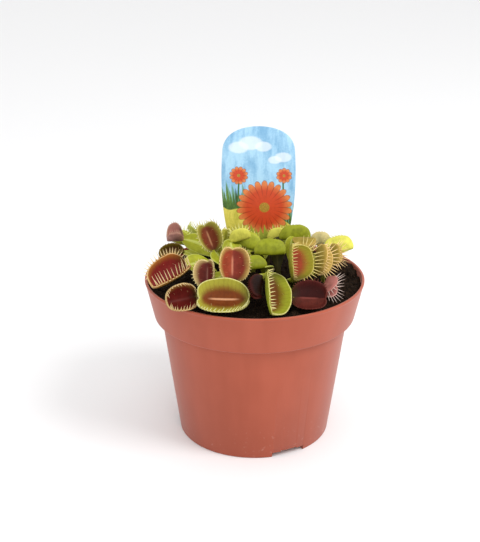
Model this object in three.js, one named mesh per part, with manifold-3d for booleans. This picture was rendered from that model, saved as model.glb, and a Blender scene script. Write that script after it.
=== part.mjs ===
// A potted Venus flytrap: a round plastic pot, its peat, a plain plant label and the leaves.
// Millimetres, +Z up. The pot stands on Z = 0 with its axis on Z, and its front is towards -Y.
import * as THREE from 'three';
import { mergeVertices } from 'three/addons/utils/BufferGeometryUtils.js';
import Module from 'manifold-3d';

const wasm = await Module();
wasm.setup();

// Pot: a 12 cm pot with a tall collar, a recessed floor and a notched foot.
const RIM_RADIUS = 60;
const POT_HEIGHT = 90;
const COLLAR_HEIGHT = 21.5;
const COLLAR_FOOT_RADIUS = 55.1;
const BODY_TOP_RADIUS = 51.4;
const BASE_RADIUS = 42.1;
const WALL = 1.3;
const FOOT_WIDTH = 3;
const FOOT_HEIGHT = 3.2;
const FLOOR = 1.8;
const NOTCH_WIDTH = 19;
const NOTCH_TURNS = [26.8, 146.8, 266.8];
const DRAIN_RADIUS = 4.5;
const DRAIN_RING = 26;
const DRAIN_COUNT = 6;
const DRAIN_SIDES = 12;
const POT_SIDES = 40;

// Peat: fills the pot to just under the rim, with a lumpy top and a heap by the rim at the back right.
const CLEARANCE = 0.35;
const PEAT_TOP = 87.6;
const PEAT_MOUND = 1.2;
const PEAT_LUMP = 0.9;
const LUMP_WAVES = { along: 0.31, across: 0.27, start: 1.3, startAcross: 0.4 };
const CRUMB_WAVES = { share: 0.6, along: 0.83, across: -0.61 };
const PEAT_HEAP = { x: 50, y: 19, height: 3.2, spread: 60 };
const PEAT_RINGS = 6;

// Plant label: a thin printed tag with a round top and a stake.
const LABEL_CENTRE = 1.9;
const LABEL_BACK = 27;
const LABEL_TOP = 167;
const LABEL_WIDTH = 40.2;
const LABEL_BELLY = { out: 1, top: 138, foot: 118 };
const LABEL_WAIST = 31.5;
const LABEL_SHOULDER = 99;
const LABEL_STAKE_WIDTH = 11;
const LABEL_STAKE_TOP = 92;
const LABEL_STAKE_TIP = 52;
const LABEL_STAKE_POINT = 8;
const LABEL_ROUND = 15;
const LABEL_CROWN = 4;
const LABEL_ROUND_STEPS = 10;
const LABEL_THICK = 0.7;

// Leaf: a winged stalk that ends in a two-lobed trap with a row of teeth on each lobe.
const LOBE_THICK = 0.9;
const RIB_THICK = 1.5;
const LOBE_BULGE = { base: 0.05, tip: 0.2 };
const LOBE_CURL = 55;
const MARGIN_POWER = 0.88;
const RIB_SAG = 0.05;
const TOOTH_BASE = 1.2;
const TOOTH_LENGTH = 0.25;
const TOOTH_END_SHARE = 0.75;
const MARGIN_LENGTH = 1.65;
const TOOTH_FIRST = 0.13;
const TOOTH_STEP = 0.05;
const STALK_ROOT = 1.5;
const STALK_NECK = 0.85;
const STALK_THICK = 1.5;
const STALK_EDGE = 0.7;
const STALK_TAPER = 1.5;
const STALK_SWELL = 0.8;
const STALK_FOLD = 0.18;
const STALK_SOCKET = 0.8;
const STALK_INTO_TRAP = 0.06;
const STALK_LEAD = 0.22;
const STALK_DEPTH = 9;
const STALK_RINGS = 6;
const HOLE_SPARE = 0.45;
const HOLE_SIDES = 6;
const HOLE_TOP = POT_HEIGHT + 5;

const DEGREE = Math.PI / 180;

// Each leaf: its foot on the peat, the joint where the stalk meets the trap, then the trap's heading
// and climb, the roll of its mouth, its length, the depth of a lobe, the angle between its lobes, how
// far the teeth of each lobe lean in, the teeth on a lobe, the stalk's width, arch and twist, and the
// colour. lead, where given, is the share of the stalk's reach that runs in line with the trap, and
// fringe the length of each lobe's teeth as a share of the trap's.
const LEAVES = [
  { foot: [-20, -7], joint: [-36.2, -15, 101.2], heading: 220, climb: -16, roll: -24, length: 22.5,
    depth: 12.5, gape: 76, lean: [-30, 42], teeth: 9, width: 13, arch: 13, twist: -30,
    fringe: [0.16, 0.34], colour: 'crimson' },
  { foot: [-14.5, 7.5], joint: [-41, 21.5, 103.4], heading: 188, climb: 0, roll: -14, length: 7.5,
    depth: 10, gape: 60, lean: [20, 40], teeth: 6, width: 13, arch: 10, twist: -35, colour: 'plum' },
  { foot: [-15, 0], joint: [-22, 4, 102.6], heading: 128, climb: 53, roll: -25, length: 15, depth: 9.5,
    gape: 84, lean: [10, -20], teeth: 6, width: 14, arch: 8, twist: 0, fringe: [0.2, 0.16],
    colour: 'crimson' },
  { foot: [-7, -19], joint: [-11.4, -31, 98.5], heading: 90, climb: 62, roll: 14, length: 16.8,
    depth: 10.4, gape: 102, lean: [14, 14], teeth: 8, width: 7, arch: 4, twist: 0, fringe: [0.12, 0.12],
    colour: 'crimson' },
  { foot: [-12, -8], joint: [-24.9, -28.6, 94.3], heading: 88, climb: 60, roll: -14, length: 13.5,
    depth: 9, gape: 76, lean: [20, -10], teeth: 6, width: 12, arch: 13, twist: 0, fringe: [0.16, 0.12],
    colour: 'plum' },
  { foot: [-15, -23], joint: [-30, -40.8, 94.3], heading: 205, climb: -2.5, roll: -56, length: 15.4,
    depth: 10, gape: 86, lean: [45, 45], teeth: 8, width: 5, arch: 1, twist: 0, fringe: [0.25, 0.25],
    colour: 'maroon' },
  { foot: [-12.5, -28.5], joint: [-3.2, -47.6, 95.9], heading: 180, climb: 1, roll: -42, length: 24.5,
    depth: 11.2, gape: 118, lean: [12, 42], teeth: 10, width: 5, arch: 6, twist: 0, lead: 0.06,
    fringe: [0.04, 0.17], colour: 'lime' },
  { foot: [1, -20], joint: [3.3, -32.2, 101.6], heading: 268, climb: -24, roll: 78, length: 13.5,
    depth: 7, gape: 16, lean: [30, 30], teeth: 7, width: 6, arch: 10, twist: 0, fringe: [0.1, 0.1],
    colour: 'maroon' },
  { foot: [11.4, -24.2], joint: [7.8, -36.2, 105], heading: 274, climb: -38, roll: -42, length: 22.6,
    depth: 11.5, gape: 90, lean: [38, 18], teeth: 9, width: 5.5, arch: 12, twist: 0, fringe: [0.15, 0.05],
    colour: 'lime' },
  { foot: [17, -22], joint: [19.4, -40.5, 94.3], heading: -6, climb: 0, roll: 40, length: 16.5,
    depth: 9.5, gape: 124, lean: [14, 14], teeth: 8, width: 6, arch: 5, twist: 0, fringe: [0.12, 0.12],
    colour: 'maroon' },
  { foot: [20, -12], joint: [20.5, -27, 98.6], heading: 93, climb: 62, roll: 42, length: 17.2, depth: 12,
    gape: 85, lean: [-20, 22], teeth: 8, width: 7, arch: 5, twist: 0, fringe: [0.24, 0.14],
    colour: 'crimson' },
  { foot: [27, -8], joint: [33, -17.4, 98.2], heading: 78, climb: 60, roll: 84, length: 14.5, depth: 10,
    gape: 80, lean: [-25, 10], teeth: 7, width: 7, arch: 5, twist: 0, fringe: [0.36, 0.2],
    colour: 'olive' },
  { foot: [29, -18], joint: [35.4, -34.6, 94], heading: 70, climb: 22, roll: 96, length: 11, depth: 7.5,
    gape: 50, lean: [-35, -35], teeth: 5, width: 5, arch: 3, twist: 0, fringe: [0.45, 0.45], lead: 0.12,
    colour: 'plum' },
  { foot: [30, 6], joint: [39, 10, 99], heading: 20, climb: 8, roll: -60, length: 16, depth: 9,
    gape: 60, lean: [40, 40], teeth: 7, width: 8, arch: 8, twist: 0, colour: 'lime' },
  { foot: [13, 3], joint: [14.6, 12.5, 107.6], heading: -5, climb: 3, roll: -38, length: 15, depth: 8,
    gape: 44, lean: [60, 60], teeth: 7, width: 9.5, arch: 6, twist: 0, fringe: [0.1, 0.1],
    colour: 'lime' },
  { foot: [27, 14], joint: [31.8, 22, 100.5], heading: 10, climb: 10, roll: -40, length: 10, depth: 6.5,
    gape: 42, lean: [40, 40], teeth: 5, width: 7, arch: 6, twist: 0, colour: 'olive' },
  { foot: [5, -5], joint: [5.6, -14, 101], heading: 195, climb: 0, roll: 62, length: 10, depth: 7,
    gape: 40, lean: [50, 50], teeth: 5, width: 8, arch: 6, twist: 0, colour: 'lime' },
  { foot: [-10, 13], joint: [-15.2, 18.6, 98.5], heading: 95, climb: 60, roll: -10, length: 10.5,
    depth: 7, gape: 40, lean: [30, 30], teeth: 6, width: 7.5, arch: 6, twist: 0, colour: 'lime' },
  { foot: [-1, 6], joint: [2.6, 13, 101], heading: 178, climb: 12, roll: 50, length: 14, depth: 9,
    gape: 44, lean: [40, 40], teeth: 6, width: 13, arch: 6, twist: 0, colour: 'lime' },
  { foot: [-14, 25], joint: [-28, 37, 95.5], heading: 125, climb: 5, roll: 10, length: 15, depth: 10.5,
    gape: 74, lean: [15, 35], teeth: 8, width: 9, arch: 7, twist: 0, colour: 'lime' },
  { foot: [-2, 33], joint: [0, 41, 96], heading: 95, climb: 10, roll: 0, length: 14, depth: 9,
    gape: 75, lean: [30, 30], teeth: 6, width: 8, arch: 5, twist: 0, colour: 'lime' },
  { foot: [21, -2], joint: [21.5, 1.6, 110.4], heading: -2, climb: 0, roll: 138, length: 10.5, depth: 7.5,
    gape: 60, lean: [20, -5], teeth: 7, width: 7, arch: 10, twist: 0, fringe: [0.1, 0.4],
    colour: 'olive' },
  { foot: [-22, 19], joint: [-36.5, 30, 97], heading: 160, climb: 8, roll: 20, length: 13, depth: 8.5,
    gape: 50, lean: [30, 30], teeth: 6, width: 8, arch: 7, twist: 0, colour: 'lime' },
  { foot: [37, -5], joint: [41.5, -1.5, 97.5], heading: 80, climb: 60, roll: 86, length: 10, depth: 7,
    gape: 50, lean: [-25, -25], teeth: 6, width: 5, arch: 3, twist: 0, fringe: [0.5, 0.5],
    colour: 'olive' },
  { foot: [-9, 33], joint: [-13, 45, 94], heading: 112, climb: 0, roll: 5, length: 10, depth: 6.5,
    gape: 55, lean: [30, 30], teeth: 5, width: 7, arch: 4, twist: 0, colour: 'lime' },
  { foot: [7.5, 20], joint: [8, 19.5, 104.8], heading: 0, climb: 5, roll: -30, length: 9, depth: 6.5,
    gape: 50, lean: [20, 20], teeth: 5, width: 7, arch: 14, twist: 0, colour: 'lime' },
  { foot: [-27, 5], joint: [-39.8, 7.8, 101], heading: 196, climb: -8, roll: -30, length: 12, depth: 6.5,
    gape: 60, lean: [30, 35], teeth: 6, width: 9, arch: 6, twist: 0, colour: 'crimson' },
  { foot: [-7, -2], joint: [-13, 7.5, 107.5], heading: 8, climb: 12, roll: -28, length: 10, depth: 6.5,
    gape: 50, lean: [-10, -10], teeth: 5, width: 12, arch: 9, twist: 0, fringe: [0.3, 0.3],
    colour: 'lime' },
  { foot: [5, 4], joint: [0.7, -3, 104.5], heading: 2, climb: 0, roll: -52, length: 14.9, depth: 8.5,
    gape: 40, lean: [60, 60], teeth: 6, width: 7, arch: 10, twist: 0, fringe: [0.1, 0.1],
    colour: 'lime' },
];

const LEAF_COLOURS = {
  crimson: '#a2543f', plum: '#96505a', maroon: '#5a2330', lime: '#9db43a', olive: '#a39a3a',
};

// Turns a geometry into a solid, with its corners shared and its empty triangles dropped.
function toSolid(geometry) {
  const bare = geometry.clone();
  bare.deleteAttribute('normal');
  bare.deleteAttribute('uv');
  const merged = mergeVertices(bare, 1e-4);
  const corners = [];
  for (let i = 0; i < merged.index.count; i += 3) {
    const [a, b, c] = [0, 1, 2].map((k) => merged.index.getX(i + k));
    if (a !== b && b !== c && c !== a) corners.push(a, b, c);
  }
  return new wasm.Manifold(new wasm.Mesh({
    numProp: 3,
    vertProperties: new Float32Array(merged.attributes.position.array),
    triVerts: new Uint32Array(corners),
  }));
}

function toGeometry(solid) {
  const mesh = solid.getMesh();
  const geometry = new THREE.BufferGeometry();
  geometry.setAttribute('position', new THREE.BufferAttribute(new Float32Array(mesh.vertProperties), 3));
  geometry.setIndex(new THREE.BufferAttribute(new Uint32Array(mesh.triVerts), 1));
  geometry.computeVertexNormals();
  return geometry;
}

function piece(name, solid, look) {
  const material = new THREE.MeshStandardMaterial({ ...look, metalness: 0, flatShading: true });
  const mesh = new THREE.Mesh(toGeometry(solid), material);
  mesh.name = name;
  return mesh;
}

// A lathe turns its profile of [radius, height] points about Z.
function lathe(profile, sides) {
  const points = profile.map(([radius, height]) => new THREE.Vector2(radius, height));
  return new THREE.LatheGeometry(points, sides).rotateX(Math.PI / 2);
}

// An upright cutter: a prism between two heights.
function prism(radius, bottom, top, sides, x, y) {
  const cutter = new THREE.CylinderGeometry(radius, radius, top - bottom, sides).rotateX(Math.PI / 2);
  return toSolid(cutter.translate(x, y, (top + bottom) / 2));
}

function wallRadius(height) {
  const stepHeight = POT_HEIGHT - COLLAR_HEIGHT;
  const [r0, z0, r1, z1] = height < stepHeight
    ? [BASE_RADIUS, 0, BODY_TOP_RADIUS, stepHeight]
    : [COLLAR_FOOT_RADIUS, stepHeight, RIM_RADIUS, POT_HEIGHT];
  return THREE.MathUtils.mapLinear(height, z0, z1, r0, r1);
}

function makePot() {
  const step = POT_HEIGHT - COLLAR_HEIGHT;
  const footInner = BASE_RADIUS - FOOT_WIDTH;
  const floorTop = FOOT_HEIGHT + FLOOR;
  const profile = [
    [0, FOOT_HEIGHT], [footInner, FOOT_HEIGHT], [footInner, 0], [BASE_RADIUS, 0],
    [BODY_TOP_RADIUS, step], [COLLAR_FOOT_RADIUS, step], [RIM_RADIUS, POT_HEIGHT],
    [RIM_RADIUS - WALL, POT_HEIGHT], [wallRadius(step + WALL) - WALL, step + WALL],
    [BODY_TOP_RADIUS - WALL, step + WALL], [wallRadius(floorTop) - WALL, floorTop], [0, floorTop],
  ];
  let pot = toSolid(lathe(profile, POT_SIDES));
  for (const turn of NOTCH_TURNS) {
    const notch = new THREE.BoxGeometry(NOTCH_WIDTH, 4 * FOOT_WIDTH, 2 * FOOT_HEIGHT)
      .translate(0, -BASE_RADIUS + FOOT_WIDTH / 2, -CLEARANCE).rotateZ(turn * DEGREE);
    pot = pot.subtract(toSolid(notch));
  }
  for (let i = 0; i < DRAIN_COUNT; i += 1) {
    const turn = (i / DRAIN_COUNT) * 2 * Math.PI;
    const [x, y] = [DRAIN_RING * Math.cos(turn), DRAIN_RING * Math.sin(turn)];
    pot = pot.subtract(prism(DRAIN_RADIUS, 0, 2 * floorTop, DRAIN_SIDES, x, y));
  }
  return piece('pot', pot, { color: '#b95a41', roughness: 0.55 });
}

// The height of the peat: a low mound with lumps, crumbs and the heap on it.
function peatHeight(x, y) {
  const mound = PEAT_MOUND * (1 - (x * x + y * y) / RIM_RADIUS ** 2);
  const lumps = PEAT_LUMP * Math.sin(LUMP_WAVES.along * x + LUMP_WAVES.start)
    * Math.cos(LUMP_WAVES.across * y + LUMP_WAVES.startAcross);
  const crumbs = CRUMB_WAVES.share * PEAT_LUMP * Math.sin(CRUMB_WAVES.along * x + CRUMB_WAVES.across * y);
  const fromHeap = (x - PEAT_HEAP.x) ** 2 + (y - PEAT_HEAP.y) ** 2;
  const heap = PEAT_HEAP.height * Math.exp(-fromHeap / PEAT_HEAP.spread);
  return PEAT_TOP + mound + lumps + crumbs + heap;
}

function makePeat(holes) {
  const step = POT_HEIGHT - COLLAR_HEIGHT;
  const floorTop = FOOT_HEIGHT + FLOOR + CLEARANCE;
  const inset = WALL + CLEARANCE;
  const edge = wallRadius(PEAT_TOP - 2 * PEAT_LUMP) - inset;
  const profile = [
    [0, floorTop], [wallRadius(floorTop) - inset, floorTop], [BODY_TOP_RADIUS - inset, step + inset],
    [wallRadius(step + inset) - inset, step + inset], [edge, PEAT_TOP],
  ];
  for (let ring = PEAT_RINGS - 1; ring >= 0; ring -= 1) {
    profile.push([edge * (ring / PEAT_RINGS), PEAT_TOP]);
  }
  const geometry = lathe(profile, POT_SIDES);
  const place = geometry.attributes.position;
  for (let i = 0; i < place.count; i += 1) {
    const [x, y, z] = [place.getX(i), place.getY(i), place.getZ(i)];
    if (z > PEAT_TOP - CLEARANCE) place.setZ(i, peatHeight(x, y));
  }
  const cutters = holes.reduce((all, hole) => all.add(hole));
  const solid = toSolid(geometry).subtract(cutters);
  return piece('soil', solid, { color: '#1d1512', roughness: 0.95 });
}

// The label's outline, about its own centre line: a round top, bowed sides and a pointed stake.
function labelOutline(grow) {
  const half = LABEL_WIDTH / 2 + grow;
  const waist = LABEL_WAIST / 2 + grow;
  const stake = LABEL_STAKE_WIDTH / 2 + grow;
  const belly = half + LABEL_BELLY.out;
  const springing = LABEL_TOP - LABEL_ROUND;
  const crown = LABEL_TOP - LABEL_CROWN;
  const point = LABEL_STAKE_TIP + LABEL_STAKE_POINT - grow;
  const shape = new THREE.Shape();
  shape.moveTo(-half, springing);
  shape.bezierCurveTo(-belly, LABEL_BELLY.top, -belly, LABEL_BELLY.foot, -waist, LABEL_SHOULDER);
  shape.lineTo(-stake, LABEL_STAKE_TOP);
  shape.lineTo(-stake, point);
  shape.lineTo(0, LABEL_STAKE_TIP - grow);
  shape.lineTo(stake, point);
  shape.lineTo(stake, LABEL_STAKE_TOP);
  shape.lineTo(waist, LABEL_SHOULDER);
  shape.bezierCurveTo(belly, LABEL_BELLY.foot, belly, LABEL_BELLY.top, half, springing);
  shape.bezierCurveTo(half, crown, half / 2, LABEL_TOP, 0, LABEL_TOP);
  shape.bezierCurveTo(-half / 2, LABEL_TOP, -half, crown, -half, springing);
  return shape;
}

function labelSolid(grow) {
  const thick = LABEL_THICK + 2 * grow;
  const options = { depth: thick, bevelEnabled: false, curveSegments: LABEL_ROUND_STEPS };
  const plate = new THREE.ExtrudeGeometry(labelOutline(grow), options).rotateX(Math.PI / 2);
  return toSolid(plate.translate(LABEL_CENTRE, LABEL_BACK + thick / 2, 0));
}

// The trap's own axes: along the midrib, out of the mouth and across.
function trapFrame(leaf) {
  const [turn, climb, roll] = [leaf.heading * DEGREE, leaf.climb * DEGREE, leaf.roll * DEGREE];
  const ahead = new THREE.Vector3(Math.cos(turn), Math.sin(turn), 0);
  const up = new THREE.Vector3(0, 0, 1);
  const along = ahead.clone().multiplyScalar(Math.cos(climb)).addScaledVector(up, Math.sin(climb));
  const level = up.multiplyScalar(Math.cos(climb)).addScaledVector(ahead, -Math.sin(climb));
  const mouth = level.applyAxisAngle(along, roll);
  const across = new THREE.Vector3().crossVectors(mouth, along);
  return new THREE.Matrix4().makeBasis(along, across, mouth).setPosition(...leaf.joint);
}

// A point of a lobe in the trap's axes. turn runs 0 to PI along the margin, reach 0 to 1 from the
// midrib to the margin, side is 1 or -1, and lift moves the point out through the lobe's back.
function lobePoint(leaf, side, turn, reach, lift) {
  const { length, depth, gape } = leaf;
  const rib = length / 2 - (length / 2) * Math.cos(turn);
  const bulge = turn < Math.PI / 2 ? LOBE_BULGE.base : LOBE_BULGE.tip;
  const margin = length / 2 - (length / 2 + bulge * length * Math.sin(turn)) * Math.cos(turn);
  const span = depth * Math.sin(turn) ** MARGIN_POWER;
  const start = (90 - gape / 2 - LOBE_CURL / 2) * DEGREE;
  const bend = LOBE_CURL * DEGREE;
  const angle = start + bend * reach;
  const out = (span / bend) * (Math.sin(angle) - Math.sin(start));
  const rise = (span / bend) * (Math.cos(start) - Math.cos(angle));
  const sag = RIB_SAG * length * Math.sin(turn) ** 2;
  const back = reach === 0 || span < 1e-6 ? [0, -1] : [Math.sin(angle), -Math.cos(angle)];
  return new THREE.Vector3(
    THREE.MathUtils.lerp(rib, margin, reach),
    side * (out + lift * back[0]),
    rise - sag + lift * back[1],
  );
}

// The way a tooth points: out from the margin in the lobe's own sheet, leaning over the mouth.
function toothTip(leaf, side, turn, length) {
  const here = lobePoint(leaf, side, turn, 1, LOBE_THICK / 2);
  const edge = lobePoint(leaf, side, turn + TOOTH_STEP, 1, LOBE_THICK / 2).sub(here).normalize();
  const outward = here.clone().sub(lobePoint(leaf, side, turn, 1 - TOOTH_STEP, LOBE_THICK / 2));
  outward.addScaledVector(edge, -outward.dot(edge)).normalize();
  const inward = new THREE.Vector3().crossVectors(edge, outward).multiplyScalar(side);
  const lean = leaf.lean[side < 0 ? 0 : 1] * DEGREE;
  here.addScaledVector(outward, length * Math.cos(lean));
  return here.addScaledVector(inward, length * Math.sin(lean));
}

// The places of the rows along the margin: a pair for each tooth, and the two ends.
function marginTurns(leaf) {
  const pitch = (1 - 2 * TOOTH_FIRST) / (leaf.teeth - 1);
  const half = TOOTH_BASE / 2 / (leaf.length * MARGIN_LENGTH);
  const turns = [0];
  for (let i = 0; i < leaf.teeth; i += 1) {
    const middle = TOOTH_FIRST + i * pitch;
    turns.push((middle - half) * Math.PI, (middle + half) * Math.PI);
  }
  turns.push(Math.PI);
  return turns;
}

function makeTrap(leaf) {
  const turns = marginTurns(leaf);
  const columns = [[-1, 1], [-1, 0.5], [1, 0], [1, 0.5], [1, 1]];
  const row = (turn, lobeLift, ribLift) => columns.map(([side, reach]) => {
    const atEnd = turn === 0 || turn === Math.PI;
    return lobePoint(leaf, side, turn, atEnd ? 0 : reach, reach === 0 ? ribLift : lobeLift);
  });
  const inner = turns.map((turn) => row(turn, 0, 0));
  const outer = turns.map((turn) => row(turn, LOBE_THICK, RIB_THICK));
  const corners = [];
  const quad = (a, b, c, d) => corners.push(a, b, c, a, c, d);
  for (let i = 0; i < turns.length - 1; i += 1) {
    for (let k = 0; k < columns.length - 1; k += 1) {
      quad(inner[i][k], inner[i + 1][k], inner[i + 1][k + 1], inner[i][k + 1]);
      quad(outer[i][k], outer[i][k + 1], outer[i + 1][k + 1], outer[i + 1][k]);
    }
    for (const [side, k] of [[-1, 0], [1, columns.length - 1]]) {
      const rim = side < 0
        ? [inner[i + 1][k], inner[i][k], outer[i][k], outer[i + 1][k]]
        : [inner[i][k], inner[i + 1][k], outer[i + 1][k], outer[i][k]];
      if (i % 2 === 1 && i < turns.length - 2) {
        const middle = (turns[i] + turns[i + 1]) / 2;
        const share = THREE.MathUtils.lerp(TOOTH_END_SHARE, 1, Math.sin(middle));
        const fringe = leaf.fringe ? leaf.fringe[side < 0 ? 0 : 1] : TOOTH_LENGTH;
        const tip = toothTip(leaf, side, middle, fringe * leaf.length * share);
        rim.forEach((corner, n) => corners.push(corner, rim[(n + 1) % 4], tip));
      } else {
        quad(...rim);
      }
    }
  }
  return toSolid(new THREE.BufferGeometry().setFromPoints(corners).applyMatrix4(trapFrame(leaf)));
}

// The stalk's centre line: straight up out of its hole, then over in an arch to the trap.
function stalkPath(leaf) {
  const frame = trapFrame(leaf);
  const ground = peatHeight(...leaf.foot);
  const root = new THREE.Vector3(...leaf.foot, ground - STALK_DEPTH);
  const mouthOfHole = new THREE.Vector3(...leaf.foot, ground + STALK_SOCKET);
  const end = new THREE.Vector3(leaf.length * STALK_INTO_TRAP, 0, -RIB_THICK / 2).applyMatrix4(frame);
  const along = new THREE.Vector3().setFromMatrixColumn(frame, 0);
  const reach = end.distanceTo(mouthOfHole);
  const rise = mouthOfHole.clone().add(new THREE.Vector3(0, 0, leaf.arch));
  const lead = end.clone().addScaledVector(along, -(leaf.lead ?? STALK_LEAD) * reach);
  const path = new THREE.CurvePath();
  path.add(new THREE.LineCurve3(root, mouthOfHole));
  path.add(new THREE.CubicBezierCurve3(mouthOfHole, rise, lead, end));
  return path;
}

function makeStalk(leaf) {
  const [straight, arch] = stalkPath(leaf).curves;
  const end = arch.getPoint(1);
  const heading = Math.atan2(end.y - leaf.foot[1], end.x - leaf.foot[0]);
  const across = new THREE.Vector3(-Math.sin(heading), Math.cos(heading), 0);
  const rings = [[straight.getPoint(0), straight.getTangent(0), 0]];
  for (let i = 0; i <= STALK_RINGS; i += 1) {
    rings.push([arch.getPoint(i / STALK_RINGS), arch.getTangent(i / STALK_RINGS), i / STALK_RINGS]);
  }
  const sections = rings.map(([centre, tangent, t], i) => {
    const wide = across.clone().addScaledVector(tangent, -across.dot(tangent)).normalize()
      .applyAxisAngle(tangent, leaf.twist * DEGREE * Math.min(1, 2 * t));
    const deep = new THREE.Vector3().crossVectors(tangent, wide);
    const swell = Math.max(0, Math.sin(Math.PI * t ** STALK_TAPER)) ** STALK_SWELL;
    const foot = THREE.MathUtils.lerp(STALK_ROOT, STALK_NECK, t);
    const half = i === 0 ? STALK_ROOT : Math.max(foot, swell * leaf.width / 2);
    const thick = STALK_THICK / 2;
    const edge = STALK_EDGE / 2;
    const fold = STALK_FOLD * half * swell;
    const at = (u, v) => centre.clone().addScaledVector(wide, u).addScaledVector(deep, v);
    return [at(-half, fold - edge), at(0, -thick), at(half, fold - edge), at(half, fold + edge),
      at(0, thick), at(-half, fold + edge)];
  });
  const corners = [];
  const sides = sections[0].length;
  for (let i = 0; i < sections.length - 1; i += 1) {
    for (let k = 0; k < sides; k += 1) {
      const next = (k + 1) % sides;
      const [a, b] = [sections[i][k], sections[i][next]];
      const [c, d] = [sections[i + 1][next], sections[i + 1][k]];
      corners.push(a, b, c, a, c, d);
    }
  }
  for (const [section, flip] of [[sections[0], true], [sections[sections.length - 1], false]]) {
    for (const [a, b, c, d] of [[0, 1, 4, 5], [1, 2, 3, 4]]) {
      const [p, q, r, s] = [a, b, c, d].map((k) => section[k]);
      if (flip) corners.push(r, q, p, s, r, p);
      else corners.push(p, q, r, p, r, s);
    }
  }
  return toSolid(new THREE.BufferGeometry().setFromPoints(corners));
}

function makeLeaf(leaf, index) {
  const name = `leaf_${String(index + 1).padStart(2, '0')}`;
  const solid = makeTrap(leaf).add(makeStalk(leaf));
  return piece(name, solid, { color: LEAF_COLOURS[leaf.colour], roughness: 0.5 });
}

function leafHole(leaf) {
  const ground = peatHeight(...leaf.foot);
  const radius = (STALK_ROOT + HOLE_SPARE) / Math.cos(Math.PI / HOLE_SIDES);
  return prism(radius, ground - STALK_DEPTH - CLEARANCE, HOLE_TOP, HOLE_SIDES, ...leaf.foot);
}

const plant = new THREE.Group();
plant.add(makePot());
plant.add(makePeat([...LEAVES.map(leafHole), labelSolid(1.5 * CLEARANCE)]));
plant.add(piece('plant_label', labelSolid(0), { color: '#8cc8f0', roughness: 0.35 }));
LEAVES.forEach((leaf, index) => plant.add(makeLeaf(leaf, index)));

export default plant;
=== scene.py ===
"""A potted Venus flytrap: its pot, its peat, the printed plant label and the trap leaves."""

import math
import random
from collections import namedtuple
from contextlib import contextmanager

import bpy
from bpy.props import FloatProperty, FloatVectorProperty, IntProperty, PointerProperty
from mathutils import Matrix, Vector, noise


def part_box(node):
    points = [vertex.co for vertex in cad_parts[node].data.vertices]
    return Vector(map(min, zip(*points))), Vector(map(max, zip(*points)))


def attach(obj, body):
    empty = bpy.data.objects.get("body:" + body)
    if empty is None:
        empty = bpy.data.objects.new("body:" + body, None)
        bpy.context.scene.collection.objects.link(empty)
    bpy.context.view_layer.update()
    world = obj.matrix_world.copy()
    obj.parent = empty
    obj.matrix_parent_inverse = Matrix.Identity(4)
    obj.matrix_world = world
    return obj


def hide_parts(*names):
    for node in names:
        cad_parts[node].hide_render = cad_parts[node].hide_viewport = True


bl_info = {
    "name": "Potted Flytrap",
    "version": (1, 0, 0),
    "blender": (4, 5, 0),
    "location": "View3D > Sidebar > Flytrap",
    "description": "Models a potted Venus flytrap around its packed construction",
    "category": "Object",
}

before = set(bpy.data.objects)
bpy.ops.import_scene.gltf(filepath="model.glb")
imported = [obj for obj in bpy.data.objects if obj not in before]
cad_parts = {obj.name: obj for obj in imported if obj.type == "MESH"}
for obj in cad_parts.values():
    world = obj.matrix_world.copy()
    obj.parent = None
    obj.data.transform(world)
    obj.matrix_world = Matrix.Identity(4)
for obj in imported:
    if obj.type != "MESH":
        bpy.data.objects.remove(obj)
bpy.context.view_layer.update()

MM = 0.001
MERGE_WITHIN = 1e-6
POT_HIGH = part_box("pot")[1]
SOIL_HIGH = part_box("soil")[1]
LABEL_LOW, LABEL_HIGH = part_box("plant_label")
RIM_RADIUS = POT_HIGH.x
POT_HEIGHT = POT_HIGH.z


def srgb(code):
    """The linear colour of a hex code."""
    channels = [int(code[i : i + 2], 16) / 255 for i in (0, 2, 4)]
    return tuple(c / 12.92 if c <= 0.04045 else ((c + 0.055) / 1.055) ** 2.4 for c in channels)


def toned(colour, share, lift=0.0):
    """A darker or lighter tone of a linear colour."""
    return tuple(min(1, c * share + lift) for c in colour)


# Looks of the traps. flesh is the inside, rim its edge and spread how near to the margin the flesh
# comes, as a share of the lobe. back is the outside, and tooth and rib are the teeth and the midrib.
# other is the flesh of the second lobe, where it differs: painted shade in the rose look, painted light
# in the maroon look.
Look = namedtuple("Look", "flesh rim spread back tooth rib other", defaults=(None,))

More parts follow.
